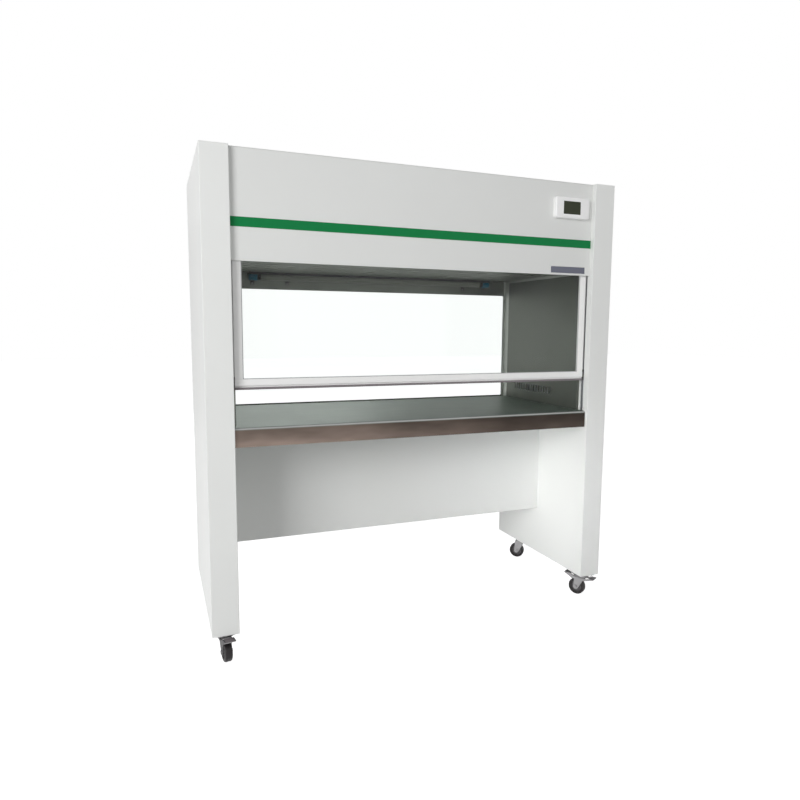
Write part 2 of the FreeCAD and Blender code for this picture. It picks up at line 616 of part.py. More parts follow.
def ceiling_diffuser():
    """Slotted stainless ceiling, through which the clean air comes down."""
    body = start_body("ceiling_diffuser")
    rear = f"({REAR_FACE} - sheet_gauge)"
    pad(body, "Z", rectangle(f"-{INNER}", INNER, PLENUM_FRONT, rear), CEILING, CEILING_TOP)
    left = f"(-{INNER} + diffuser_side_margin)"
    front = f"({PLENUM_FRONT} + diffuser_edge_margin)"
    back = f"({REAR_WALL} - diffuser_edge_margin)"
    slot = pocket(body, "Z", rectangle(left, f"{left} + diffuser_slot_length", front,
                                       f"{front} + diffuser_slot_width"),
                  f"{CEILING} - sheet_gauge", f"{CEILING_TOP} + sheet_gauge")
    repeat_along(body, slot, "X", f"-{left} * 2 - diffuser_slot_length", "diffuser_columns",
                 ("Y", f"{back} - {front} - diffuser_slot_width", "diffuser_rows"))


def plenum_housing():
    """Steel hood over the filter, open below, with an outlet from each blower in its deck."""
    body = start_body("plenum_housing")
    pad(body, "Z", rectangle(f"-{INNER}", INNER, PLENUM_FRONT, REAR_WALL), CEILING_TOP, DECK)
    hollow = rectangle(f"-{INNER} + sheet_gauge", f"{INNER} - sheet_gauge",
                       f"{PLENUM_FRONT} + sheet_gauge", f"{REAR_WALL} - sheet_gauge")
    pocket(body, "Z", hollow, f"{CEILING_TOP} - sheet_gauge", f"{DECK} - sheet_gauge")
    for side in (LEFT, RIGHT):
        middle = f"({side} * {BLOWER_X})"
        outlet = rectangle(f"{middle} - blower_width / 2 + sheet_gauge",
                           f"{middle} + blower_width / 2 - sheet_gauge", "blower_setback + sheet_gauge",
                           "blower_setback + scroll_radius + scroll_growth * 3 - sheet_gauge")
        pocket(body, "Z", outlet, f"{DECK} - sheet_gauge * 2", f"{DECK} + sheet_gauge")


def filter_frame():
    """Aluminium frame of the filter."""
    body = start_body("filter_frame")
    side = f"({INNER} - sheet_gauge - filter_side_clearance)"
    front = f"({PLENUM_FRONT} + sheet_gauge + filter_side_clearance)"
    rear = f"({REAR_WALL} - sheet_gauge - filter_side_clearance)"
    pad(body, "Z", rectangle(f"-{side}", side, front, rear), CEILING_TOP, f"{CEILING_TOP} + filter_height")
    pocket(body, "Z", rectangle(f"-{side} + filter_rim", f"{side} - filter_rim", f"{front} + filter_rim",
                                f"{rear} - filter_rim"),
           f"{CEILING_TOP} - filter_rim", f"{CEILING_TOP} + filter_height + filter_rim")


def filter_media():
    """Pleated paper of the filter: one sheet, folded up and down across the width."""
    media = doc.addObject("Part::Feature", "filter_media")
    half = number(f"{INNER} - sheet_gauge - filter_side_clearance - filter_rim")
    front = number(f"{PLENUM_FRONT} + sheet_gauge + filter_side_clearance + filter_rim")
    rear = number(f"{REAR_WALL} - sheet_gauge - filter_side_clearance - filter_rim")
    bottom = number(f"{CEILING_TOP} + filter_media_inset")
    top = number(f"{CEILING_TOP} + filter_height - filter_media_inset")
    gauge = number("media_gauge")
    folds = int(number("pleat_count")) * 2
    step = 2 * half / folds
    there = []
    for i in range(folds + 1):
        level = bottom if i % 2 else top - gauge
        there.append(FreeCAD.Vector(-half + i * step, front, level))
    back = [spot + FreeCAD.Vector(0, 0, gauge) for spot in reversed(there)]
    wire = Part.makePolygon(there + back + there[:1])
    media.Shape = Part.Face(wire).extrude(FreeCAD.Vector(0, rear - front, 0))
    keep(media, "filter_media")


def prefilter_tray():
    """Tray under the intake slots, with a ledge all round that carries the prefilter."""
    body = start_body("prefilter_tray")
    wall = "(prefilter_clearance + sheet_gauge)"
    outside = rectangle(f"-{MAT_X} - {wall}", f"{MAT_X} + {wall}", f"-{MAT_Y} - {wall}", f"{MAT_Y} + {wall}")
    pad(body, "Z", outside, f"{MAT_BOTTOM} - sheet_gauge", COVER_UNDERSIDE)
    pocket(body, "Z", rectangle(f"-{MAT_X} - prefilter_clearance", f"{MAT_X} + prefilter_clearance",
                                f"-{MAT_Y} - prefilter_clearance", f"{MAT_Y} + prefilter_clearance"),
           MAT_BOTTOM, f"{COVER_UNDERSIDE} + sheet_gauge")
    pocket(body, "Z", rectangle(f"-{MAT_X} + prefilter_ledge", f"{MAT_X} - prefilter_ledge",
                                f"-{MAT_Y} + prefilter_ledge", f"{MAT_Y} - prefilter_ledge"),
           f"{MAT_BOTTOM} - sheet_gauge * 2", f"{MAT_BOTTOM} + sheet_gauge")


def prefilter_mat():
    """Washable coarse filter below the intake slots."""
    body = start_body("prefilter_mat")
    pad(body, "Z", rectangle(f"-{MAT_X}", MAT_X, f"-{MAT_Y}", MAT_Y), MAT_BOTTOM, COVER_UNDERSIDE)


def quarter(centre_y, centre_z, radius, start):
    """A quarter circle in the YZ plane, from one multiple of a right angle to the next lower one."""
    spots = []
    for turn in (start, start - 0.5, start - 1):
        angle = turn * math.pi / 2
        y = centre_y + radius * math.cos(angle)
        z = centre_z + radius * math.sin(angle)
        spots.append(FreeCAD.Vector(0, y, z))
    return Part.Arc(*spots).toShape(), spots[0], spots[2]


def scroll_face(inset, foot):
    """Outline of the scroll: three quarter circles that grow, and a straight duct down to the deck."""
    growth = number("scroll_growth")
    radius = number("scroll_radius") - inset
    centre_y = number("blower_setback")
    centre_z = number(SHAFT_HEIGHT)
    first, start, end = quarter(centre_y, centre_z, radius, 3)
    second, start_two, end_two = quarter(centre_y + growth, centre_z, radius + growth, 2)
    third, start_three, end_three = quarter(centre_y + growth, centre_z - growth, radius + 2 * growth, 1)
    lip = FreeCAD.Vector(0, start.y + inset, start.z)
    inner_foot = FreeCAD.Vector(0, lip.y, foot)
    outer_foot = FreeCAD.Vector(0, end_three.y, foot)
    edges = [first, second, third, Part.makeLine(end_three, outer_foot),
             Part.makeLine(outer_foot, inner_foot), Part.makeLine(inner_foot, lip)]
    if inset:
        edges.append(Part.makeLine(lip, start))
    return Part.Face(Part.Wire(Part.sortEdges(edges)[0]))


def blower_housing(side, label):
    """Sheet steel scroll with an inlet in the side next to the motor and its outlet on the deck."""
    housing = doc.addObject("Part::Feature", label)
    gauge = number("sheet_gauge")
    width = number("blower_width")
    deck = number(DECK)
    outer = scroll_face(0, deck).extrude(FreeCAD.Vector(width, 0, 0))
    inner = scroll_face(gauge, deck - gauge).extrude(FreeCAD.Vector(width - 2 * gauge, 0, 0))
    inner.translate(FreeCAD.Vector(gauge, 0, 0))
    inlet_side = width if side == RIGHT else 0
    middle = FreeCAD.Vector(inlet_side - 2 * gauge, number("blower_setback"), number(SHAFT_HEIGHT))
    inlet = Part.makeCylinder(number("blower_inlet_radius"), 4 * gauge, middle, FreeCAD.Vector(1, 0, 0))
    housing.Shape = outer.cut([inner, inlet])
    left = side * number(BLOWER_X) - width / 2
    housing.Placement = FreeCAD.Placement(FreeCAD.Vector(left, 0, 0), FreeCAD.Rotation())
    keep(housing, label)


def blower_impeller(side, label):
    """Bladed wheel on its disc and hub, with the shaft that the motor turns."""
    body = start_body(label)
    middle = f"({side} * {BLOWER_X})"
    half = "(blower_width / 2 - sheet_gauge - impeller_side_gap)"
    face = f"(impeller_disc_gauge - {half})"
    shaft_end = "(blower_width / 2 + motor_gap + motor_bearing_depth)"
    profile = [(f"-{half}", "0"), (f"-{half}", "impeller_radius"), (face, "impeller_radius"),
               (face, "hub_radius"), (f"{face} + hub_length", "hub_radius"),
               (f"{face} + hub_length", "shaft_radius"), (shaft_end, "shaft_radius"), (shaft_end, "0")]
    revolve(body, (middle, "blower_setback", SHAFT_HEIGHT),
            [(f"{side} * ({along})", radius) for along, radius in profile])
    blade = impeller_blade(body, f"{middle} + {side} * impeller_disc_gauge / 2",
                           f"{half} * 2 - impeller_disc_gauge")
    turn = body.newObject("PartDesign::PolarPattern", "blades")
    turn.Originals = [blade]
    turn.Axis = (blade.Profile[0], ["N_Axis"])
    turn.Angle = 360
    bind(turn, "Occurrences", "blade_count")
    body.Tip = turn


def impeller_blade(body, middle, length):
    """One leaning blade, drawn about the shaft and run from the disc to the inlet."""
    sketch = new_sketch(body, "YZ_Plane", ("blower_setback", SHAFT_HEIGHT, middle))
    root = "impeller_radius - blade_depth"
    tip = "impeller_radius - blade_gauge"
    draw(sketch, [("0", root), ("blade_lean", tip), ("blade_lean + blade_gauge", tip), ("blade_gauge", root)])
    feature = body.newObject("PartDesign::Pad", "blade")
    feature.Profile = sketch
    feature.SideType = "Symmetric"
    bind(feature, "Length", length)
    return feature


def blower_motor(side, label):
    """Motor beside the scroll, on a foot that stands on the deck, with a bearing bore for the shaft."""
    body = start_body(label)
    near_end = f"({BLOWER_X} + blower_width / 2 + motor_gap)"
    low, high = flip(side, near_end, f"{near_end} + motor_length")
    pad(body, "X", ("blower_setback", SHAFT_HEIGHT, "motor_radius"), low, high)
    foot_low, foot_high = flip(side, f"{near_end} + (motor_length - motor_foot_length) / 2",
                               f"{near_end} + (motor_length + motor_foot_length) / 2")
    pad(body, "X", rectangle("blower_setback - motor_foot_width / 2", "blower_setback + motor_foot_width / 2",
                             DECK, SHAFT_HEIGHT), foot_low, foot_high)
    bore_low, bore_high = flip(side, f"{near_end} - shaft_radius",
                               f"{near_end} + motor_bearing_depth + motor_bore_relief")
    pocket(body, "X", ("blower_setback", SHAFT_HEIGHT, "shaft_radius + shaft_clearance"), bore_low, bore_high)


def lamp_ballast():
    """Lamp ballast on the blower deck."""
    body = start_body("lamp_ballast")
    box = rectangle("ballast_length / -2", "ballast_length / 2", "-ballast_setback - ballast_depth / 2",
                    "-ballast_setback + ballast_depth / 2")
    pad(body, "Z", box, DECK, f"{DECK} + ballast_tall")


def lamp():
    """Lamp tube, its two end caps, and the brackets and clips that hold it to the rear wall."""
    left = "(lamp_shift - lamp_length / 2)"
    right = "(lamp_shift + lamp_length / 2)"
    tube = start_body("lamp_tube")
    pad(tube, "X", (LAMP_Y, LAMP_Z, "lamp_radius"), f"{left} + lamp_cap_length", f"{right} - lamp_cap_length")
    caps = start_body("lamp_end_caps")
    pad(caps, "X", (LAMP_Y, LAMP_Z, "lamp_cap_radius"), left, f"{left} + lamp_cap_length")
    pad(caps, "X", (LAMP_Y, LAMP_Z, "lamp_cap_radius"), f"{right} - lamp_cap_length", right)
    clips = start_body("lamp_clips")
    back = rectangle(f"{REAR_WALL} - lamp_bracket_gauge", REAR_WALL, f"{LAMP_Z} - lamp_bracket_tall", LAMP_Z)
    for place, radius in ((f"({left} + lamp_cap_length / 2)", "lamp_cap_radius"),
                          (f"({left} + lamp_clip_left_inset)", "lamp_radius"),
                          (f"({right} - lamp_clip_right_inset)", "lamp_radius"),
                          (f"({right} - lamp_cap_length / 2)", "lamp_cap_radius")):
        low = f"{place} - lamp_bracket_width / 2"
        high = f"{place} + lamp_bracket_width / 2"
        pad(clips, "X", back, low, high)
        arm_top = f"({LAMP_Z} - {radius} - lamp_seat_gap)"
        pad(clips, "X", rectangle(LAMP_Y, REAR_WALL, f"{arm_top} - lamp_bracket_gauge", arm_top), low, high)


def framed_pane(body, low, high, side, base, top):
    """Adds a flat rectangle between two depths."""
    pad(body, "Y", rectangle(f"-({side})", side, base, top), low, high)


def cut_window(body, low, high, grow):
    """Cuts the window opening, grown by a margin."""
    side = f"({WINDOW_SIDE} + {grow})"
    opening = rectangle(f"-{side}", side, f"{WINDOW_BASE} - {grow}", f"{WINDOW_TOP} + {grow}")
    pocket(body, "Y", opening, low, high)


def rear_wall():
    """Folded stainless rear wall with its window, gasket, glass and the frame that holds them in."""
    wall = start_body("rear_wall_frame")
    framed_pane(wall, REAR_WALL, REAR_WALL_BACK, INNER, WORKTOP_REAR_BASE, CEILING)
    hollow = rectangle(f"-{INNER} + liner_gauge", f"{INNER} - liner_gauge",
                       f"{WORKTOP_REAR_BASE} + liner_gauge", f"{CEILING} - liner_gauge")
    pocket(wall, "Y", hollow, GASKET_FACE, f"{REAR_WALL_BACK} + liner_gauge")
    cut_window(wall, f"{REAR_WALL} - liner_gauge", f"{GASKET_FACE} + liner_gauge", "0")
    dress("PartDesign::Fillet", wall, "Radius", "window_corner_radius",
          lambda edge: runs_along(edge, "y") and near(abs(edge.Vertexes[0].X), WINDOW_SIDE))
    side = f"({WINDOW_SIDE} + window_glass_overlap)"
    base = f"({WINDOW_BASE} - window_glass_overlap)"
    top = f"({WINDOW_TOP} + window_glass_overlap)"
    gasket = start_body("rear_window_gasket")
    framed_pane(gasket, GASKET_FACE, GLASS_FACE, side, base, top)
    cut_window(gasket, f"{GASKET_FACE} - liner_gauge", f"{GLASS_FACE} + liner_gauge", "window_gasket_reveal")
    glass = start_body("rear_window_glass")
    framed_pane(glass, GLASS_FACE, GLASS_BACK, side, base, top)
    retainer = start_body("rear_window_retainer")
    framed_pane(retainer, GLASS_BACK, f"{GLASS_BACK} + sheet_gauge",
                f"{INNER} - liner_gauge - retainer_clearance",
                f"{WORKTOP_REAR_BASE} + liner_gauge + retainer_clearance",
                f"{CEILING} - liner_gauge - retainer_clearance")
    cut_window(retainer, f"{GLASS_BACK} - sheet_gauge", f"{GLASS_BACK} + sheet_gauge * 2", "0")


def worktop():
    """Stainless work surface, one sheet with a rolled front edge, a deep lip and a fold at the rear."""
    body = start_body("worktop")
    profile = [(LIP_FACE, "worktop_height - worktop_lip"), (LIP_FACE, "worktop_height"),
               (REAR_WALL, "worktop_height"), (REAR_WALL, WORKTOP_REAR_BASE),
               (f"{REAR_WALL} - sheet_gauge", WORKTOP_REAR_BASE),
               (f"{REAR_WALL} - sheet_gauge", WORKTOP_UNDERSIDE),
               (f"{LIP_FACE} + sheet_gauge", WORKTOP_UNDERSIDE),
               (f"{LIP_FACE} + sheet_gauge", "worktop_height - worktop_lip + sheet_gauge"),
               (f"{LIP_FACE} + worktop_lip_return", "worktop_height - worktop_lip + sheet_gauge"),
               (f"{LIP_FACE} + worktop_lip_return", "worktop_height - worktop_lip")]
    pad(body, "X", profile, f"-{INNER}", INNER)
    dress("PartDesign::Fillet", body, "Radius", "worktop_nose_radius",
          lambda edge: runs_along(edge, "x") and near(edge.Vertexes[0].Y, LIP_FACE)
          and near(edge.Vertexes[0].Z, "worktop_height"))
    dress("PartDesign::Fillet", body, "Radius", "worktop_nose_radius - sheet_gauge",
          lambda edge: runs_along(edge, "x") and near(edge.Vertexes[0].Y, f"{LIP_FACE} + sheet_gauge")
          and near(edge.Vertexes[0].Z, WORKTOP_UNDERSIDE))
    notches = []
    for side in (LEFT, RIGHT):
        low, high = flip(side, f"{INNER} - liner_depth - worktop_side_gap", f"{INNER} + sheet_gauge")
        front = f"{LINER_FRONT} - worktop_side_gap"
        notches.append(rectangle(low, high, front, f"{REAR_WALL} + sheet_gauge"))
    pocket(body, "Z", notches, f"{WORKTOP_REAR_BASE} - sheet_gauge", "worktop_height + sheet_gauge")


def worktop_support(side, label):
    """Angle on the inside of an end panel, under the worktop."""
    body = start_body(label)
    base = f"({WORKTOP_UNDERSIDE} - support_leg)"
    reach = f"({INNER} - support_leg)"
    corners = [(INNER, base), (INNER, WORKTOP_UNDERSIDE), (reach, WORKTOP_UNDERSIDE),
               (reach, f"{WORKTOP_UNDERSIDE} - support_gauge"),
               (f"{INNER} - support_gauge", f"{WORKTOP_UNDERSIDE} - support_gauge"),
               (f"{INNER} - support_gauge", base)]
    pad(body, "Y", [(f"{side} * ({across})", up) for across, up in corners],
        f"{FRONT} + support_setback", f"{REAR} - support_setback")


def worktop_stiffener():
    """Channel that runs under the worktop between the two angles, and carries the modesty panel."""
    body = start_body("worktop_stiffener")
    front = "(modesty_depth / 2 - modesty_setback - stiffener_depth / 2)"
    rear = "(modesty_depth / 2 - modesty_setback + stiffener_depth / 2)"
    base = f"({WORKTOP_UNDERSIDE} - support_leg)"
    profile = [(front, base), (front, WORKTOP_UNDERSIDE), (f"{front} + sheet_gauge", WORKTOP_UNDERSIDE),
               (f"{front} + sheet_gauge", f"{base} + sheet_gauge"),
               (f"{rear} - sheet_gauge", f"{base} + sheet_gauge"),
               (f"{rear} - sheet_gauge", WORKTOP_UNDERSIDE), (rear, WORKTOP_UNDERSIDE), (rear, base)]
    pad(body, "X", profile, f"-{INNER} + support_leg", f"{INNER} - support_leg")


def modesty_panel():
    """Painted panel across the knee space, folded back on all four sides."""
    body = start_body("modesty_panel")
    top = f"({WORKTOP_UNDERSIDE} - support_leg)"
    face = "(-modesty_setback)"
    pad(body, "Y", rectangle(f"-{INNER}", INNER, "modesty_base_height", top), face, f"{face} + modesty_depth")
    pocket(body, "Y", rectangle(f"-{INNER} + sheet_gauge", f"{INNER} - sheet_gauge",
                                "modesty_base_height + sheet_gauge", f"{top} - sheet_gauge"),
           f"{face} + sheet_gauge", f"{face} + modesty_depth + sheet_gauge")


def display():
    """Display housing with its sloped rim, the screen, and the control board behind the canopy sheet."""
    housing = start_body("display_housing")
    outside = rectangle(DISPLAY_LEFT, DISPLAY_RIGHT, DISPLAY_BASE, DISPLAY_TOP)
    pad(housing, "Y", outside, DISPLAY_FACE, CANOPY_FACE)
    dress("PartDesign::Chamfer", housing, "Size", "display_edge_chamfer",
          lambda edge: all(near(vertex.Y, DISPLAY_FACE) for vertex in edge.Vertexes))
    left = f"({DISPLAY_LEFT} + screen_left_margin)"
    base = f"({DISPLAY_BASE} + screen_base_margin)"
    opening = rectangle(left, f"{left} + screen_width", base, f"{base} + screen_tall")
    screen_back = f"{DISPLAY_FACE} + screen_recess + screen_gauge"
    pocket(housing, "Y", opening, f"{DISPLAY_FACE} - screen_gauge", screen_back)
    screen = start_body("display_screen")
    pad(screen, "Y", opening, f"{DISPLAY_FACE} + screen_recess", screen_back)
    board = start_body("control_board")
    board_face = f"({CANOPY_FACE} + sheet_gauge + board_standoff)"
    pad(board, "Y", rectangle(f"{DISPLAY_LEFT} + board_margin", f"{DISPLAY_RIGHT} - board_margin",
                              f"{DISPLAY_BASE} + board_margin", f"{DISPLAY_TOP} - board_margin"),
        board_face, f"{board_face} + board_gauge")
    post_left = (f"{DISPLAY_LEFT} + board_margin", f"{DISPLAY_RIGHT} - board_margin - board_post")
    post_base = (f"{DISPLAY_BASE} + board_margin", f"{DISPLAY_TOP} - board_margin - board_post")
    posts = [rectangle(x, f"{x} + board_post", z, f"{z} + board_post") for x in post_left for z in post_base]
    pad(board, "Y", posts, f"{CANOPY_FACE} + sheet_gauge", board_face)


def bare_plate():
    """Plain plate above the canopy's lower edge."""
    body = start_body("bare_plate")
    right = f"({INNER} - plate_right_margin)"
    base = f"({CANOPY_BASE} + plate_base_gap)"
    pad(body, "Y", rectangle(f"{right} - plate_width", right, base, f"{base} + plate_tall"),
        f"{CANOPY_FACE} - plate_gauge", CANOPY_FACE)


def mains_inlet():
    """Three-pin appliance inlet in the rear panel."""
    body = start_body("mains_inlet")
    x = f"({INNER} - inlet_margin)"
    z = f"({CEILING_TOP} + inlet_lift)"

    def centred(width, tall, across="0", up="0"):
        return rectangle(f"{x} + {across} - {width} / 2", f"{x} + {across} + {width} / 2",
                         f"{z} + {up} - {tall} / 2", f"{z} + {up} + {tall} / 2")

    mouth = f"({REAR_FACE} + inlet_flange_gauge)"
    pad(body, "Y", centred("inlet_width", "inlet_tall"), REAR_FACE, mouth)
    core = centred("inlet_core_width", "inlet_core_tall")
    pad(body, "Y", core, f"{REAR_FACE} - inlet_core_depth", REAR_FACE)
    pocket(body, "Y", centred("(inlet_core_width - inlet_wall * 2)", "(inlet_core_tall - inlet_wall * 2)"),
           f"{mouth} - inlet_socket_depth", f"{mouth} + inlet_wall")
    pins = [centred("inlet_pin_width", "inlet_pin_tall", across, up)
            for across, up in (("-inlet_pin_spread", "-inlet_pin_drop"), ("0", "inlet_pin_drop"),
                               ("inlet_pin_spread", "-inlet_pin_drop"))]
    pad(body, "Y", pins, f"{mouth} - inlet_socket_depth", f"{mouth} - inlet_socket_depth + inlet_pin_reach")


def sash_frame():
    """Everything that slides: grip, bottom bar, stiles, top rail, glass and glides."""
    groove_front = f"({SASH_MIDDLE} - glazing_groove / 2)"
    groove_back = f"({SASH_MIDDLE} + glazing_groove / 2)"
    neck = f"({SASH_BASE} + grip_tall)"
    grip = start_body("sash_grip")
    strip = rectangle(f"{SASH_FACE} - grip_overhang", SASH_BACK, SASH_BASE, neck)
    pad(grip, "X", strip, f"-{SASH_SIDE}", SASH_SIDE)
    dress("PartDesign::Fillet", grip, "Radius", "grip_overhang",
          lambda edge: runs_along(edge, "x") and near(edge.Vertexes[0].Y, f"{SASH_FACE} - grip_overhang"))
    bar = start_body("sash_bottom_bar")
    step = f"({SASH_FACE} + bar_neck_inset)"
    profile = [(step, neck), (step, f"{neck} + bar_neck_tall"), (SASH_FACE, f"{neck} + bar_neck_tall"),
               (SASH_FACE, BAR_TOP), (groove_front, BAR_TOP),
               (groove_front, f"{BAR_TOP} - glazing_groove_depth"),
               (groove_back, f"{BAR_TOP} - glazing_groove_depth"), (groove_back, BAR_TOP),
               (SASH_BACK, BAR_TOP), (SASH_BACK, neck)]
    pad(bar, "X", profile, f"-{SASH_SIDE}", SASH_SIDE)
    rail = start_body("sash_top_rail")
    rail_base = f"({SASH_TOP} - top_rail_tall)"
    profile = [(SASH_FACE, rail_base), (SASH_FACE, SASH_TOP), (SASH_BACK, SASH_TOP), (SASH_BACK, rail_base),
               (groove_back, rail_base), (groove_back, f"{rail_base} + glazing_groove_depth"),
               (groove_front, f"{rail_base} + glazing_groove_depth"), (groove_front, rail_base)]
    pad(rail, "X", profile, f"-{SASH_SIDE}", SASH_SIDE)
    for side, label in ((LEFT, "sash_stile_left"), (RIGHT, "sash_stile_right")):
        stile = start_body(label)
        inside = f"({SASH_SIDE} - stile_width)"
        face = f"({SASH_MIDDLE} - stile_depth / 2)"
        back = f"({SASH_MIDDLE} + stile_depth / 2)"
        groove_end = f"{inside} + glazing_groove_depth"
        corners = [(inside, face), (SASH_SIDE, face), (SASH_SIDE, back), (inside, back),
                   (inside, groove_back), (groove_end, groove_back), (groove_end, groove_front),
                   (inside, groove_front)]
        pad(stile, "Z", [(f"{side} * ({across})", up) for across, up in corners], BAR_TOP, rail_base)
    glass = start_body("sash_glass")
    pane = f"({SASH_SIDE} - stile_width + glazing_groove_depth - track_clearance)"
    pad(glass, "Y", rectangle(f"-{pane}", pane, f"{BAR_TOP} - glazing_groove_depth",
                              f"{rail_base} + glazing_groove_depth - track_clearance"),
        f"{SASH_MIDDLE} - sash_glass_gauge / 2", f"{SASH_MIDDLE} + sash_glass_gauge / 2")
    glides = start_body("sash_glides")
    corner = rectangle(f"-{SASH_SIDE} - glide_reach", f"-{SASH_SIDE}", f"{SASH_MIDDLE} - glide_depth / 2",
                       f"{SASH_MIDDLE} + glide_depth / 2")
    glide = pad(glides, "Z", corner, SASH_BASE, f"{SASH_BASE} + glide_tall")
    repeat_along(glides, glide, "X", f"{SASH_SIDE} * 2 + glide_reach", "2",
                 ("Z", f"{SASH_TOP} - {SASH_BASE} - glide_tall", "2"))


def caster_corners():
    """Swivel centres of the four casters."""
    return [(f"({side} * {CASTER_X})", y) for y in (CASTER_FRONT_Y, CASTER_REAR_Y) for side in (LEFT, RIGHT)]


def hexagon(across, up, radius):
    """Corners of a hexagon."""
    turns = [k * math.pi / 3 for k in range(6)]
    return [(f"{across} + {radius} * {math.cos(turn):.4f}", f"{up} + {radius} * {math.sin(turn):.4f}")
            for turn in turns]


def caster_top_plates():
    """Four top plates, each with its ball race and the kingpin and nut that the fork hangs on."""
    body = start_body("caster_top_plates")
    nut_top = f"({BRIDGE_BASE} - race_gap)"
    plates = [rectangle(f"{x} - top_plate_width / 2", f"{x} + top_plate_width / 2",
                        f"{y} - top_plate_depth / 2", f"{y} + top_plate_depth / 2")
              for x, y in caster_corners()]
    pad(body, "Z", plates, PLATE_BASE, "caster_height")
    pad(body, "Z", [(x, y, "race_radius") for x, y in caster_corners()], RACE_BASE, PLATE_BASE)
    pad(body, "Z", [(x, y, "kingpin_radius") for x, y in caster_corners()], nut_top, RACE_BASE)
    pad(body, "Z", [hexagon(x, y, "kingpin_nut_radius") for x, y in caster_corners()],
        f"{nut_top} - kingpin_nut_height", nut_top)


def caster_bolts():
    """Heads of the bolts that hold the top plates under the end panels."""
    body = start_body("caster_bolts")
    spots = [(f"{x} + {i} * bolt_spread_width / 2", f"{y} + {j} * bolt_spread_depth / 2")
             for x, y in caster_corners() for i in (-1, 1) for j in (-1, 1)]
    heads = [hexagon(across, up, "bolt_head_radius") for across, up in spots]
    pad(body, "Z", heads, f"{PLATE_BASE} - bolt_head_height", PLATE_BASE)


def start_caster_body(place, label):
    """A body drawn about a swivel with the wheel towards the front, then turned to its rest."""
    x, y, turn = place
    body = start_body(label)
    bind(body, "Placement.Base.x", x)
    bind(body, "Placement.Base.y", y)
    bind(body, "Placement.Rotation.Angle", turn)
    return body


def caster_fork(place, label, with_brake):
    """Swivelling fork that hangs on the kingpin, with the axle riveted across its legs."""
    body = start_caster_body(place, label)
    pad(body, "Z", rectangle(f"-{LEG_OUTSIDE}", LEG_OUTSIDE, "-fork_front_reach", "fork_rear_reach"),
        BRIDGE_BASE, FORK_TOP)
    foot = "(fork_foot_half - fork_foot_chamfer)"
    leg = [("fork_rear_reach", FORK_TOP), ("-fork_front_reach", FORK_TOP),
           ("-caster_trail - fork_foot_half", f"wheel_radius - {foot}"),
           (f"-caster_trail - {foot}", "wheel_radius - fork_foot_half"),
           (f"-caster_trail + {foot}", "wheel_radius - fork_foot_half"),
           ("-caster_trail + fork_foot_half", f"wheel_radius - {foot}")]
    head = hexagon("-caster_trail", "wheel_radius", "axle_head_radius")
    for side in (LEFT, RIGHT):
        pad(body, "X", leg, *flip(side, LEG_INSIDE, LEG_OUTSIDE))
        pad(body, "X", head, *flip(side, LEG_OUTSIDE, f"{LEG_OUTSIDE} + axle_head_gauge"))
    pad(body, "X", ("-caster_trail", "wheel_radius", "axle_radius"), f"-{LEG_INSIDE}", LEG_INSIDE)
    pocket(body, "Z", ("0", "0", "kingpin_radius + running_clearance"), f"{BRIDGE_BASE} - fork_gauge",
           f"{FORK_TOP} + fork_gauge")
    if with_brake:
        hole = ("-brake_pivot_reach", "brake_pivot_height", "brake_pin_radius + running_clearance")
        pocket(body, "X", hole, f"-{LEG_OUTSIDE} - fork_gauge", f"{LEG_OUTSIDE} + fork_gauge")


def caster_wheel(place, label):
    """Wheel with a bore for the axle."""
    body = start_caster_body(place, label)
    rings = [("-caster_trail", "wheel_radius", "wheel_radius"),
             ("-caster_trail", "wheel_radius", "axle_radius + running_clearance")]
    pad(body, "X", rings, f"-{WHEEL_HALF}", WHEEL_HALF)


def caster_brake(place, label):
    """Rocking pedal on a pin across the fork: two arms, a plate at each end and the shoe over the wheel."""
    body = start_caster_body(place, label)
    inside = f"({LEG_OUTSIDE} + brake_side_clearance)"
    outside = f"({inside} + brake_gauge)"
    toe_base = "(brake_toe_height - brake_gauge)"
    heel_base = "(brake_heel_height - brake_gauge)"
    arm = [("-brake_toe_reach", toe_base), ("-brake_shoe_reach", "brake_shoe_height"),
           ("-brake_pivot_reach", "brake_pivot_height - brake_arm_half"),
           ("race_radius", "brake_pivot_height - brake_arm_half"), ("brake_heel_reach", heel_base),
           ("brake_heel_reach", "brake_heel_height"), ("brake_heel_root", "brake_heel_height"),
           ("race_radius", "brake_pivot_height + brake_arm_half"),
           ("-brake_pivot_reach", "brake_pivot_height + brake_arm_half"),
           ("-brake_toe_root", "brake_toe_height"),
           ("-brake_toe_reach", "brake_toe_height")]
    for side in (LEFT, RIGHT):
        pad(body, "X", arm, *flip(side, inside, outside))
    plates = [rectangle("-brake_toe_reach", "-brake_toe_root", toe_base, "brake_toe_height"),
              rectangle("brake_heel_root", "brake_heel_reach", heel_base, "brake_heel_height"),
              rectangle("-brake_shoe_reach", "-brake_shoe_reach + brake_gauge", "brake_shoe_height",
                        "brake_shoe_height + brake_arm_half * 2")]
    pad(body, "X", plates, f"-{inside}", inside)
    pad(body, "X", ("-brake_pivot_reach", "brake_pivot_height", "brake_pin_radius"), f"-{inside}", inside)


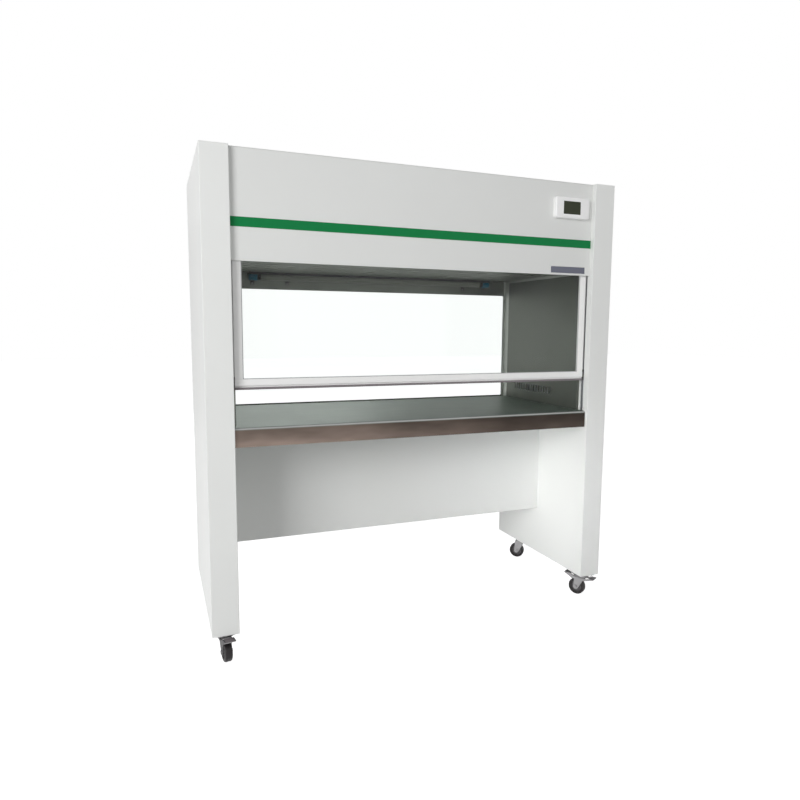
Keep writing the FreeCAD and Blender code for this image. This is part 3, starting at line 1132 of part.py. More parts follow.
def build():
    """Makes every sub-part."""
    fill_sheet()
    for side, word in ((LEFT, "left"), (RIGHT, "right")):
        end_panel(side, f"end_panel_{word}")
        chamber_liner(side, f"chamber_liner_{word}")
        sash_guide(side, f"sash_guide_{word}")
        worktop_support(side, f"worktop_support_{word}")
        blower_housing(side, f"blower_housing_{word}")
        blower_impeller(side, f"blower_impeller_{word}")
        blower_motor(side, f"blower_motor_{word}")
    canopy_front_panel()
    accent_stripe()
    canopy_top_cover()
    canopy_rear_panel()
    ceiling_diffuser()
    plenum_housing()
    filter_frame()
    filter_media()
    prefilter_tray()
    prefilter_mat()
    lamp_ballast()
    lamp()
    rear_wall()
    worktop()
    worktop_stiffener()
    modesty_panel()
    display()
    bare_plate()
    mains_inlet()
    sash_frame()
    caster_top_plates()
    caster_bolts()
    for end, y in (("front", CASTER_FRONT_Y), ("rear", CASTER_REAR_Y)):
        for side, word in ((LEFT, "left"), (RIGHT, "right")):
            place = (f"({side} * {CASTER_X})", y, f"caster_{end}_{word}_turn")
            caster_fork(place, f"caster_{end}_{word}_fork", end == "front")
            caster_wheel(place, f"caster_{end}_{word}_wheel")
            if end == "front":
                caster_brake(place, f"caster_{end}_{word}_brake")
    doc.recompute()


def check():
    """Stops when a feature failed, cut or added nothing, or left a bad solid."""
    for thing in doc.Objects:
        if "Invalid" in thing.State or "Error" in thing.State:
            raise RuntimeError(f"{thing.Name} failed: {thing.State}")
        base = getattr(thing, "BaseFeature", None)
        if base is not None and thing.isDerivedFrom("PartDesign::Feature"):
            change = thing.Shape.Volume - base.Shape.Volume
            wrong = change >= 0 if thing.isDerivedFrom("PartDesign::Pocket") else abs(change) < 1e-3
            if wrong:
                label = thing.getParentGeoFeatureGroup().Label
                raise RuntimeError(f"{thing.Name} of {label} changed nothing")
    for part in parts:
        if part.Shape.isNull() or not part.Shape.isValid():
            raise RuntimeError(f"{part.Label} has no valid shape")


def write():
    """Writes one STEP file for each sub-part."""
    os.makedirs("parts", exist_ok=True)
    for part in parts:
        part.Shape.exportStep(f"parts/{part.Label}.step")


build()
check()
write()
print(f"{len(parts)} sub-parts")
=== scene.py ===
"""Looks of a vertical laminar flow cabinet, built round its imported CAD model."""

import math

import bmesh
import bpy
from mathutils import Matrix, Vector


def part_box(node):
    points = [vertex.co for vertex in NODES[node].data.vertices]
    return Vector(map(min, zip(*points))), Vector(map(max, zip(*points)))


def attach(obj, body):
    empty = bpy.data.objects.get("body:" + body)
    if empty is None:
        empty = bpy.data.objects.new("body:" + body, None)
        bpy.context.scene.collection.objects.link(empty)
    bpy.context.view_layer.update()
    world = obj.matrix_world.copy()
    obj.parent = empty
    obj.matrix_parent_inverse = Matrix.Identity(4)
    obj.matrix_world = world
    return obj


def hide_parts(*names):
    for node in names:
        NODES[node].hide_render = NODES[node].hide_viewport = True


bl_info = {
    "name": "Laminar flow cabinet looks",
    "version": (1, 0, 0),
    "blender": (4, 5, 0),
    "location": "3D View > Sidebar > Cabinet",
    "description": "Finishes, small fittings and a studio for the cabinet",
    "category": "Object",
}

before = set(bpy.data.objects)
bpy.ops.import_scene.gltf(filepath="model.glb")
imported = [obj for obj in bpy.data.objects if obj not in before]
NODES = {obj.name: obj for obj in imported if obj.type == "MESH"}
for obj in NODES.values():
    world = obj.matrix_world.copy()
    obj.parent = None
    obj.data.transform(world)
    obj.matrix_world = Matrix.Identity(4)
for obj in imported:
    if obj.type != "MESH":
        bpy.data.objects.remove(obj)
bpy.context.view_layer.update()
MM = 0.001

# Modelling: distances in metres within which points are one, angles in degrees, steps of rounded edges, and
# the share of a face's normal along an axis from which it faces that way
SAME_PLACE, SAME_SEAM_POINT = 1e-5, 1e-6
FLAT_FOLD, SMOOTH_BELOW, SHELL_SMOOTH_BELOW, ROUND_ABOVE = 0.5, 35, 30, 40
FOLD_STEPS, ROUNDING_STEPS = 3, 2
FACING = 0.999

# Where the front casters swivel, in millimetres, and how far each caster is turned at rest, in degrees
SWIVELS = {"front_left": (-697.5, -270.5), "front_right": (697.5, -270.5)}
CASTER_TURNS = {"front_left": 9, "front_right": -150, "rear_left": 36, "rear_right": -133}

# Profiles in millimetres, as (along the axis, out from it)
HOLDER = [(0, 0), (0, 12.5), (1.5, 15), (24.5, 15), (25.5, 16.2), (29.5, 16.2), (30.5, 15), (32, 15), (32, 0)]
FERRULE = [(32, 12.8), (32, 13.5), (45, 13.5), (46, 12.8), (32, 12.8)]
TYRE = [(-12, 22), (-12, 28.5), (-10.5, 31.2), (-7.5, 32.5), (-2.5, 32.5), (-2, 32), (2, 32), (2.5, 32.5),
        (7.5, 32.5), (10.5, 31.2), (12, 28.5), (12, 22), (-12, 22)]
HUB = [(-11, 4.05), (-11, 9), (-8, 10.5), (-6.5, 13), (-6.5, 19.5), (-9.5, 22), (9.5, 22), (6.5, 19.5),
       (6.5, 13), (8, 10.5), (11, 9), (11, 4.05), (-11, 4.05)]
# The same for a screw's head with its recess, for a radius of 1
SCREW_HEAD = [(0, 0), (0, 1), (0.3, 1), (0.52, 0.7), (0.6, 0.3), (0.25, 0.22), (0.2, 0)]
TYRE_STEPS, HUB_STEPS, LAMP_STEPS, SCREW_STEPS = 48, 40, 32, 10

# Sizes of the small pieces, in millimetres
# Display shell: radii of its corners and rim with their steps, its rim's flat part, and in square metres an
# area that only its front face passes
SHELL_CORNER, SHELL_CORNER_STEPS = 8, 5
SHELL_RIM, SHELL_RIM_STEPS = 4, 4
SHELL_INSET = 2
SHELL_FRONT_AREA = 0.001
# Rounded edge of the bare plate
PLATE_EDGE = 0.3
# Black batten that paints the dark shadow line above the tube: from the tube's middle to its front and back,
# the height of its lip, and its sheet
BATTEN_FRONT, BATTEN_BACK, BATTEN_DROP, BATTEN_GAUGE = 17, 4, 10, 1
# Corner trims: their sheet, the legs of the upright angle, and the legs of the angle under the ceiling
TRIM_GAUGE = 1
TRIM_REAR_LEG, TRIM_SIDE_LEG = 9, 30
TRIM_DROP_LEG, TRIM_CEILING_LEG = 8, 14
# Bead round the sash glass and brushes beside the stiles; a brush is shorter than its glides at each end
BEAD_WIDTH, BEAD_DEPTH, BEAD_EDGE = 2.5, 1.6, 0.5
BRUSH_REACH, BRUSH_HALF, BRUSH_EDGE, BRUSH_SHORTER = 5.5, 1.5, 0.8, 42
# Ribs on a brake pedal; front and back are measured from the swivel
RIB_HALF, RIB_FRONT, RIB_BACK, RIB_HEIGHT, RIB_EDGE = 14, 67, 65, 1.6, 0.5
RIB_PITCH, RIB_COUNT = 4.2, 6
# Radii of the small screws, and the sheet of the lamp clips that they hold
SMALL_SCREW, INLET_SCREW = 2.6, 1.8
CLIP_GAUGE = 2

# Lamps: where each stands and aims, in metres, its width and its spread in degrees
LAMPS = {
    "key": ((-4.1, -3.95, 2.3), (0.0, 0.0, 0.8), 2.4, 180),
    "fill": ((1.2, -3.2, 1.9), (0.1, 0, 0.9), 2.4, 180),
    "low": ((-1.6, -1.3, 0.5), (0.68, -0.14, 0.42), 0.5, 24),
    "rear": ((0.3, 4.8, 3.3), (0.0, 0.3, 0.9), 2.6, 180),
}
FLOOR_WIDTH, FLOOR_GREY, FLOOR_GLOW = 40, 0.78, 0.84

# The camera fitted to the photograph: its place in metres, its axes, sensor and lens
CAMERA_PLACE = (-0.8823, -2.2689, 1.0612)
CAMERA_RIGHT = (0.93078, -0.36551, 0.00634)
CAMERA_UP = (0.0352, 0.10689, 0.99365)
CAMERA_BACK = (-0.36387, -0.92465, 0.11236)
SENSOR_WIDTH, LENS = 36, 28.291


# Node trees

# The colour sockets of a Mix node, whose names repeat
MIX_LOW, MIX_HIGH, MIX_RESULT = 6, 7, 2


class Recipe:
    """The node tree of a material, round one Principled shader, or of the sky."""

    def __init__(self, owner):
        owner.use_nodes = True
        self.owner = owner
        self.tree = owner.node_tree
        self.shader = self.tree.nodes.get("Principled BSDF")

    def set(self, **values):
        """Sets sockets of the shader, with spaces written as underscores."""
        for name, value in values.items():
            self.shader.inputs[name.replace("_", " ")].default_value = value

    def wire(self, name, source):
        """Joins an output to a socket of the shader."""
        self.link(source, self.shader.inputs[name])

    def add(self, kind, values=None, **props):
        """Adds a node, with its settings and the values of its sockets by name."""
        node = self.tree.nodes.new(kind)
        for name, value in props.items():
            setattr(node, name, value)
        for name, value in (values or {}).items():
            node.inputs[name].default_value = value
        return node

    def link(self, source, target):
        """Joins an output socket to an input socket."""
        self.tree.links.new(source, target)

    def feed(self, target, value):
        """Gives an input socket an output, a number or a colour."""
        if isinstance(value, bpy.types.NodeSocket):
            self.link(value, target)
        else:
            target.default_value = (*value, 1) if isinstance(value, tuple) else value

    def place(self, stretch=(1, 1, 1)):
        """Object coordinates in metres, stretched."""
        spot = self.add("ShaderNodeTexCoord")
        mapping = self.add("ShaderNodeMapping", {"Scale": stretch})
        self.link(spot.outputs["Object"], mapping.inputs["Vector"])
        return mapping.outputs["Vector"]

    def noise(self, size, detail=3.0, stretch=(1, 1, 1), roughness=0.5):
        """Noise whose features are about size metres across."""
        node = self.add("ShaderNodeTexNoise", {"Scale": 1 / size, "Detail": detail, "Roughness": roughness})
        self.link(self.place(stretch), node.inputs["Vector"])
        return node.outputs["Fac"]

    def mix(self, low, high, **props):
        """A node that mixes two colours, with its factor at 1."""
        node = self.add("ShaderNodeMix", data_type="RGBA", **props)
        node.inputs["Factor"].default_value = 1.0
        self.feed(node.inputs[MIX_LOW], low)
        self.feed(node.inputs[MIX_HIGH], high)
        return node

    def blend(self, factor, low, high):
        """A colour between two, by a factor."""
        node = self.mix(low, high)
        self.link(factor, node.inputs["Factor"])
        return node.outputs[MIX_RESULT]

    def filtered(self, colour, other):
        """The product of two colours."""
        return self.mix(colour, other, blend_type="MULTIPLY").outputs[MIX_RESULT]

    def combine(self, operation, first, second):
        """The result of an operation on two values."""
        node = self.add("ShaderNodeMath", operation=operation)
        self.feed(node.inputs[0], first)
        self.feed(node.inputs[1], second)
        return node.outputs[0]

    def remap(self, factor, low, high, start=0.0, end=1.0):
        """Turns a factor between start and end into a value between low and high."""
        node = self.add("ShaderNodeMapRange",
                        {"From Min": start, "From Max": end, "To Min": low, "To Max": high})
        self.link(factor, node.inputs["Value"])
        return node.outputs["Result"]

    def bump(self, height, depth, strength):
        """Raises the surface by a height, depth metres at most."""
        node = self.add("ShaderNodeBump", {"Strength": strength, "Distance": depth})
        self.link(height, node.inputs["Height"])
        self.wire("Normal", node.outputs["Normal"])


def new_material(name):
    """The recipe of a new material."""
    return Recipe(bpy.data.materials.new(name))


def tint(colour, factor):
    """A colour made lighter or darker."""
    return tuple(channel * factor for channel in colour)


# Stretches of the noise that makes brushed lines along x, y or z, and the usual size of a line in metres
ALONG_X, ALONG_Y, ALONG_Z = (0.004, 1, 1), (1, 0.004, 1), (1, 1, 0.004)
FINE_LINES, COARSE_LINES = 0.0012, 0.004

# The worktop's lip and rolled edge, in metres: (start, end) of each change, and the tones between which it
# runs. The lip's colour is a painted reflection of the darker room in front, darker to the right and towards
# its top; the rolled edge has a painted highlight along its top.
LIP_REFLECTION_COLOUR = (0.10, 0.078, 0.066)
LIP_TOP = (0.744, 0.749)
LIP_WIDTH, LIP_REFLECTION_ACROSS = (-0.65, 0.35), (2.1, 0.55)
LIP_HEIGHT, LIP_REFLECTION_UP = (0.70, 0.742), (1.3, 0.75)
LIP_BLOTCH, LIP_BLOTCH_STRETCH = 0.05, (0.25, 1, 1)
LIP_BLOTCH_RANGE, LIP_BLOTCH_TONES = (0.3, 0.7), (0.72, 1.28)
EDGE_HIGHLIGHT_COLOUR = (0.40, 0.40, 0.40)
EDGE_HIGHLIGHT_HEIGHT, EDGE_HIGHLIGHT_DEPTH = (0.7465, 0.749), (-0.3, -0.2965)

# Tones of sheets that are a little lighter or darker than the setting of their colour. They paint light and
# shade: the end panels are a lighter copy of the powder coat, the liners a darker and the ceiling a lighter
# copy of the chamber steel.
PANEL_PAINTED_LIGHT, LINER_PAINTED_SHADE, CEILING_PAINTED_LIGHT = 1.09, 0.85, 1.25


def paint(name, colour, roughness=0.38):
    """Powder coat with a faint orange peel and slow changes of tone."""
    cloud_size, patch_size, peel_size, peel_depth = 0.35, 0.05, 0.0022, 0.00006
    recipe = new_material(name)
    recipe.set(Specular_IOR_Level=0.5, IOR=1.5)
    darker, lighter = tint(colour, 0.975), tint(colour, 1.02)
    recipe.wire("Base Color", recipe.blend(recipe.noise(cloud_size, detail=2.0), darker, lighter))
    recipe.wire("Roughness", recipe.remap(recipe.noise(patch_size), roughness - 0.05, roughness + 0.05))
    recipe.bump(recipe.noise(peel_size, detail=1.0), peel_depth, strength=0.5)
    return recipe.owner


def brushed(name, colour, roughness, stretch=ALONG_X, line=FINE_LINES, metallic=1.0):
    """Brushed sheet metal; the brushing runs along the axis with the small stretch."""
    cloud_size, cloud_shade, dent_size, dent_depth = 0.18, 0.12, 0.22, 0.0006
    recipe = new_material(name)
    recipe.set(Metallic=metallic, Specular_IOR_Level=0.2, Specular_Tint=(0.35, 0.35, 0.35, 1))
    lines = recipe.noise(line, detail=4.0, stretch=stretch, roughness=0.6)
    darker, lighter = tint(colour, 1 - cloud_shade), tint(colour, 1 + cloud_shade)
    tone = recipe.blend(recipe.noise(cloud_size, detail=2.0), darker, lighter)
    streak = recipe.blend(lines, (0.92, 0.92, 0.92), (1.07, 1.07, 1.07))
    recipe.wire("Base Color", recipe.filtered(tone, streak))
    recipe.wire("Roughness", recipe.remap(lines, roughness * 0.75, roughness * 1.3))
    recipe.bump(recipe.noise(dent_size, detail=1.0), dent_depth, strength=0.6)
    return recipe.owner


def worktop_finish(colour):
    """Brushed steel whose lip is a painted reflection, darker to the right and towards its top and mottled at
    random, with a painted highlight along the rolled edge.
    """
    material = brushed("worktop_steel", colour, 0.42, metallic=0.55)
    recipe = Recipe(material)
    spot = recipe.add("ShaderNodeSeparateXYZ")
    recipe.link(recipe.place(), spot.inputs["Vector"])
    across, deep, up = (spot.outputs[axis] for axis in "XYZ")
    blotches = recipe.noise(LIP_BLOTCH, detail=2.0, stretch=LIP_BLOTCH_STRETCH)
    # Painted reflection: the lip darker towards its top, and mottled at random
    upright = recipe.combine("MULTIPLY", recipe.remap(up, *LIP_REFLECTION_UP, *LIP_HEIGHT),
                             recipe.remap(blotches, *LIP_BLOTCH_TONES, *LIP_BLOTCH_RANGE))
    # Painted reflection: the lip lighter at the left and darker at the right
    tone = recipe.combine("MULTIPLY", recipe.remap(across, *LIP_REFLECTION_ACROSS, *LIP_WIDTH), upright)
    sheet = recipe.shader.inputs["Base Color"].links[0].from_socket
    lipped = recipe.blend(recipe.remap(up, 1.0, 0.0, *LIP_TOP), sheet, recipe.filtered(LIP_REFLECTION_COLOUR, tone))
    # Painted highlight along the top of the rolled edge
    edge = recipe.combine("MULTIPLY", recipe.remap(up, 0.0, 1.0, *EDGE_HIGHLIGHT_HEIGHT),
                          recipe.remap(deep, 1.0, 0.0, *EDGE_HIGHLIGHT_DEPTH))
    recipe.wire("Base Color", recipe.blend(edge, lipped, EDGE_HIGHLIGHT_COLOUR))
    return material


def plastic(name, colour, roughness, specular=0.5):
    """Moulded plastic or rubber with a fine grain."""
    cloud_size, patch_size, grain_size, grain_depth = 0.03, 0.01, 0.0006, 0.00004
    recipe = new_material(name)
    recipe.set(Specular_IOR_Level=specular)
    darker, lighter = tint(colour, 0.94), tint(colour, 1.05)
    recipe.wire("Base Color", recipe.blend(recipe.noise(cloud_size, detail=2.0), darker, lighter))
    recipe.wire("Roughness", recipe.remap(recipe.noise(patch_size), roughness - 0.06, roughness + 0.06))
    recipe.bump(recipe.noise(grain_size, detail=2.0), grain_depth, strength=0.5)
    return recipe.owner


def glass(name, colour):
    """Clear glass with little reflection."""
    cloud_size = 0.6
    recipe = new_material(name)
    recipe.set(Roughness=0.0, IOR=1.18, Transmission_Weight=1.0)
    recipe.wire("Base Color", recipe.blend(recipe.noise(cloud_size, detail=1.0), tint(colour, 0.995), colour))
    return recipe.owner


def bristles():
    """Grey brush strip, with its bristles across the gap."""
    hair_size, hair_depth = 0.0006, 0.0003
    recipe = new_material("brush_strip")
    hairs = recipe.noise(hair_size, detail=2.0, stretch=(0.05, 1, 1))
    recipe.wire("Base Color", recipe.blend(hairs, (0.58, 0.58, 0.58), (0.75, 0.75, 0.74)))
    recipe.set(Roughness=0.9)
    recipe.bump(hairs, hair_depth, strength=0.8)
    return recipe.owner


def settings():
    """The cabinet's settings in the scene."""
    return bpy.context.scene.cabinet_looks


def dress(material, *names):
    """Gives CAD nodes a material."""
    for name in names:
        slots = NODES[name].data.materials
        slots.clear()
        slots.append(material)


def paired(*stems):
    """Left and right names."""
    return [f"{stem}_{word}" for stem in stems for word in ("left", "right")]


# Brushed metals: colour, roughness, direction and size of the lines, metallic share and the CAD nodes with it
METALS = {
    "zinc_plate": ((0.26, 0.255, 0.26), 0.35, ALONG_X, FINE_LINES, 1.0,
                   [name for name in NODES if name.startswith("caster_") and not name.endswith("_wheel")]),
    "galvanised_sheet": ((0.55, 0.56, 0.57), 0.35, ALONG_X, COARSE_LINES, 1.0,
                         ["plenum_housing", "prefilter_tray", "worktop_stiffener",
                          *paired("worktop_support", "blower_housing", "blower_impeller")]),
    "anodised_aluminium": ((0.62, 0.63, 0.64), 0.3, ALONG_Z, FINE_LINES, 1.0,
                           ["filter_frame", *paired("sash_guide")]),
    "spring_steel": ((0.035, 0.035, 0.032), 0.4, ALONG_X, FINE_LINES, 0.8, ["lamp_clips"]),
    "bare_plate": ((0.12, 0.125, 0.155), 0.45, ALONG_X, FINE_LINES, 1.0, ["bare_plate"]),
}

# Plastics, rubber and paper: colour, roughness, specular level and the CAD nodes with it
PLASTICS = {
    "wheel_rubber": ((0.016, 0.0135, 0.0145), 0.45, 0.3, [name for name in NODES if name.endswith("_wheel")]),
    "grip_strip": ((0.18, 0.16, 0.17), 0.4, 0.5, ["sash_grip"]),
    "black_nylon": ((0.02, 0.02, 0.02), 0.4, 0.5, ["sash_glides", "mains_inlet"]),
    "gasket_rubber": ((0.02, 0.02, 0.02), 0.6, 0.5, ["rear_window_gasket"]),
    "display_shell": ((0.97, 0.97, 0.97), 0.3, 0.5, ["display_housing"]),
    "screen": ((0.045, 0.05, 0.032), 0.35, 0.1, ["display_screen"]),
    "circuit_board": ((0.02, 0.16, 0.05), 0.4, 0.5, ["control_board"]),
    "lamp_caps": ((0.016, 0.10, 0.15), 0.35, 0.2, ["lamp_end_caps"]),
    "lamp_glass": ((0.145, 0.155, 0.132), 0.3, 0.2, ["lamp_tube"]),
    "filter_paper": ((0.80, 0.80, 0.77), 0.8, 0.5, ["filter_media", "prefilter_mat"]),
    "motor_paint": ((0.07, 0.075, 0.08), 0.45, 0.5, paired("blower_motor")),
}


# Modelling

def choose(*pieces):
    """Leaves edit mode and selects only these pieces, the first of them active."""
    if bpy.context.mode != "OBJECT":
        bpy.ops.object.mode_set(mode="OBJECT")
    bpy.ops.object.select_all(action="DESELECT")
    for piece in pieces:
        piece.select_set(True)
    bpy.context.view_layer.objects.active = pieces[0]


def pick(piece, kind, test):
    """Selects the faces or edges of a piece that pass a test, and stays in edit mode."""
    choose(piece)
    bpy.ops.object.mode_set(mode="EDIT")
    bpy.ops.mesh.select_mode(type=kind)
    bpy.ops.mesh.select_all(action="DESELECT")
    mesh = bmesh.from_edit_mesh(piece.data)
    mesh.normal_update()
    for item in mesh.faces if kind == "FACE" else mesh.edges:
        if test(item):
            item.select_set(True)
    bmesh.update_edit_mesh(piece.data)


def face_outwards():
    """Turns all faces of the piece in edit mode outwards."""
    bpy.ops.mesh.select_all(action="SELECT")
    bpy.ops.mesh.normals_make_consistent(inside=False)


def settle(piece, angle=SMOOTH_BELOW):
    """Leaves edit mode, puts the place into the mesh and smooths the shading below an angle."""
    choose(piece)
    bpy.ops.object.transform_apply(location=True, rotation=True, scale=True)
    bpy.ops.object.shade_smooth_by_angle(angle=math.radians(angle))
    return piece


def joined(*pieces):
    """Joins pieces into the first of them."""
    choose(*pieces)
    bpy.ops.object.join()
    return settle(pieces[0])


def bevel_all(piece, width):
    """Rounds the sharp edges of a piece with an applied modifier."""
    choose(piece)
    modifier = piece.modifiers.new("rounding", "BEVEL")
    modifier.width = width * MM
    modifier.segments = ROUNDING_STEPS
    modifier.limit_method = "ANGLE"
    modifier.angle_limit = math.radians(ROUND_ABOVE)
    bpy.ops.object.modifier_apply(modifier=modifier.name)
    return piece


def flatten_shading(piece):
    """Keeps large flat faces flat beside their rounded edges."""
    choose(piece)
    modifier = piece.modifiers.new("flat_faces", "WEIGHTED_NORMAL")
    modifier.keep_sharp = True
    bpy.ops.object.modifier_apply(modifier=modifier.name)


def box(low, high, turn=0.0, about=(0, 0)):
    """A box between two corners in millimetres, turned about an upright axis."""
    bpy.ops.object.select_all(action="DESELECT")
    middle = Vector([(a + b) / 2 for a, b in zip(low, high)]) - Vector((*about, 0))
    middle = Matrix.Rotation(turn, 3, "Z") @ middle + Vector((*about, 0))
    size = [(b - a) * MM for a, b in zip(low, high)]
    bpy.ops.mesh.primitive_cube_add(size=1, location=middle * MM, rotation=(0, 0, turn), scale=size)
    return settle(bpy.context.active_object)


def turned(spot, along, out, profile, steps):
    """Draws a profile of (along, out) millimetres point by point, then spins it about its axis."""
    along, out, spot = Vector(along), Vector(out), Vector(spot) * MM
    spots = [spot + (along * a + out * r) * MM for a, r in profile]
    bpy.ops.object.select_all(action="DESELECT")
    bpy.ops.mesh.primitive_plane_add(size=MM, location=spots[0])
    piece = bpy.context.active_object
    bpy.ops.object.transform_apply(location=True)
    bpy.ops.object.mode_set(mode="EDIT")
    bpy.ops.mesh.select_mode(type="VERT")
    bpy.ops.mesh.merge(type="CENTER")
    for here, there in zip(spots, spots[1:]):
        bpy.ops.mesh.extrude_vertices_move(TRANSFORM_OT_translate={"value": there - here})
    bpy.ops.mesh.select_all(action="SELECT")
    bpy.ops.mesh.spin(steps=steps, angle=math.tau, center=spot, axis=along)
    bpy.ops.mesh.select_all(action="SELECT")
    bpy.ops.mesh.remove_doubles(threshold=SAME_SEAM_POINT)
    face_outwards()
    return settle(piece)


def repeated(piece, shifts):
    """Copies a piece by shifts in millimetres and joins the copies to it."""
    copies = []
    for shift in shifts:
        choose(piece)
        bpy.ops.object.duplicate()
        bpy.ops.transform.translate(value=Vector(shift) * MM)
        copies.append(bpy.context.active_object)
    return joined(piece, *copies)


def fit(piece, name, material, slot, body, *replaced):
    """Names a piece, gives it its finish and sets it on its body."""
    piece.name = name
    piece.data.name = name
    piece.data.materials.clear()
    piece.data.materials.append(material)
    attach(piece, body)
    if replaced:
        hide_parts(*replaced)


def finish_of(node):
    """The finish that a CAD node has been given."""
    return NODES[node].data.materials[0]


def on_box_edge(edge, low, high):
    """True for an edge that lies along an edge of a box."""
    planes = 0
    for axis in range(3):
        for level in (low[axis], high[axis]):
            planes += all(abs(vertex.co[axis] - level) < SAME_PLACE for vertex in edge.verts)
    return planes >= 2


def folded_copy(node, radius, slot, body):
    """Stands in for a sheet metal node with the outer edges of its folds rounded."""
    piece = bpy.data.objects.new(node, NODES[node].data.copy())
    bpy.context.scene.collection.objects.link(piece)
    choose(piece)
    bpy.ops.object.mode_set(mode="EDIT")
    bpy.ops.mesh.select_all(action="SELECT")
    bpy.ops.mesh.remove_doubles(threshold=SAME_PLACE)
    bpy.ops.mesh.dissolve_limited(angle_limit=math.radians(FLAT_FOLD))
    low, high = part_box(node)
    pick(piece, "EDGE", lambda edge: on_box_edge(edge, low, high))
    bpy.ops.mesh.bevel(offset=radius * MM, segments=FOLD_STEPS, affect="EDGES")
    flatten_shading(settle(piece))
    fit(piece, f"{node}_folded", finish_of(node), slot, body, node)


class CabinetLooks(bpy.types.PropertyGroup):
    """Colours and light of the cabinet, and the radii of its folds and screws."""
    paint_colour: bpy.props.FloatVectorProperty(
        name="Paint", description="Powder coat", subtype="COLOR", default=(0.79, 0.80, 0.785), min=0, max=1)
    stripe_colour: bpy.props.FloatVectorProperty(
        name="Stripe", description="Strip across the canopy", subtype="COLOR",
        default=(0.004, 0.20, 0.055), min=0, max=1)
    # Painted shade: the chamber and worktop steels are set far darker than bare stainless, to stand for the
    # dark work chamber
    chamber_steel: bpy.props.FloatVectorProperty(
        name="Chamber steel", description="Liners, rear wall and ceiling", subtype="COLOR",
        default=(0.168, 0.180, 0.160), min=0, max=1)
    worktop_steel: bpy.props.FloatVectorProperty(
        name="Worktop steel", description="Worktop behind its lip", subtype="COLOR",
        default=(0.165, 0.198, 0.172), min=0, max=1)
    fold_radius: bpy.props.FloatProperty(
        name="Fold radius", description="Outer radius of the painted sheet's folds, in millimetres",
        default=1.8, min=0.2, max=4)
    screw_radius: bpy.props.FloatProperty(
        name="Screw radius", description="Radius of a panel screw's head, in millimetres",
        default=4.0, min=2, max=6)
    key_power: bpy.props.FloatProperty(
        name="Key lamp", description="Power of the key lamp", default=166.0, min=0, unit="POWER")
    fill_power: bpy.props.FloatProperty(
        name="Fill lamp", description="Power of the fill lamp", default=11.0, min=0, unit="POWER")
    low_power: bpy.props.FloatProperty(
        name="Low lamp", description="Power of the lamp that reaches into the knee space",
        default=0.6, min=0, unit="POWER")
    rear_power: bpy.props.FloatProperty(
        name="Rear lamp", description="Power of the lamp behind the cabinet",
        default=75.0, min=0, unit="POWER")
    sky_strength: bpy.props.FloatProperty(
        name="Sky", description="Strength of the surrounding light", default=0.25, min=0)


class CABINET_OT_finishes(bpy.types.Operator):
    """Gives every CAD piece its finish"""
    bl_idname = "cabinet.finishes"
    bl_label = "Finishes"

    def execute(self, context):
        looks = settings()
        white, steel = tuple(looks.paint_colour), tuple(looks.chamber_steel)
        dress(paint("powder_coat", white), "canopy_front_panel", "canopy_top_cover", "canopy_rear_panel",
              "modesty_panel", "rear_window_retainer", "lamp_ballast")
        # Painted light: the end panels wear a lighter copy of the powder coat
        dress(paint("panel_coat", tint(white, PANEL_PAINTED_LIGHT)), *paired("end_panel"))
        dress(paint("sash_coat", (0.93, 0.93, 0.92), 0.3),
              "sash_bottom_bar", "sash_top_rail", *paired("sash_stile"))
        dress(plastic("stripe_film", tuple(looks.stripe_colour), 0.5, specular=0.15), "accent_stripe")
        # Painted shade: liners, rear wall, ceiling and worktop get the darkened steels
        dress(brushed("chamber_steel", tint(steel, LINER_PAINTED_SHADE), 0.45, ALONG_Y, metallic=0.9),
              "rear_wall_frame", *paired("chamber_liner"))
        dress(brushed("ceiling_steel", tint(steel, CEILING_PAINTED_LIGHT), 0.4, metallic=0.85), "ceiling_diffuser")
        dress(worktop_finish(tuple(looks.worktop_steel)), "worktop")
        dress(glass("float_glass", (0.985, 1.0, 0.992)), "sash_glass", "rear_window_glass")
        for name, (*look, wearers) in METALS.items():
            dress(brushed(name, *look), *wearers)
        for name, (*look, wearers) in PLASTICS.items():
            dress(plastic(name, *look), *wearers)
        bare = [name for name, node in NODES.items()
                if not node.data.materials or node.data.materials[0] is None]
        if bare:
            raise RuntimeError(f"no finish for {bare}")
        return {"FINISHED"}


class CABINET_OT_folded_sheets(bpy.types.Operator):
    """Rounds the folds of the painted sheets, of the sash and of the plate"""
    bl_idname = "cabinet.folded_sheets"
    bl_label = "Folded sheets"

    def execute(self, context):
        radius = settings().fold_radius
        for node in (*paired("end_panel"), "canopy_front_panel", "modesty_panel"):
            folded_copy(node, radius, "painted_white", "cabinet")
        for node in ("sash_bottom_bar", "sash_top_rail", *paired("sash_stile")):
            folded_copy(node, radius / 2, "sash_white", "sash")
        folded_copy("bare_plate", PLATE_EDGE, "plate_metal", "cabinet")
        folded_copy("lamp_ballast", radius, "painted_white", "cabinet")
        return {"FINISHED"}


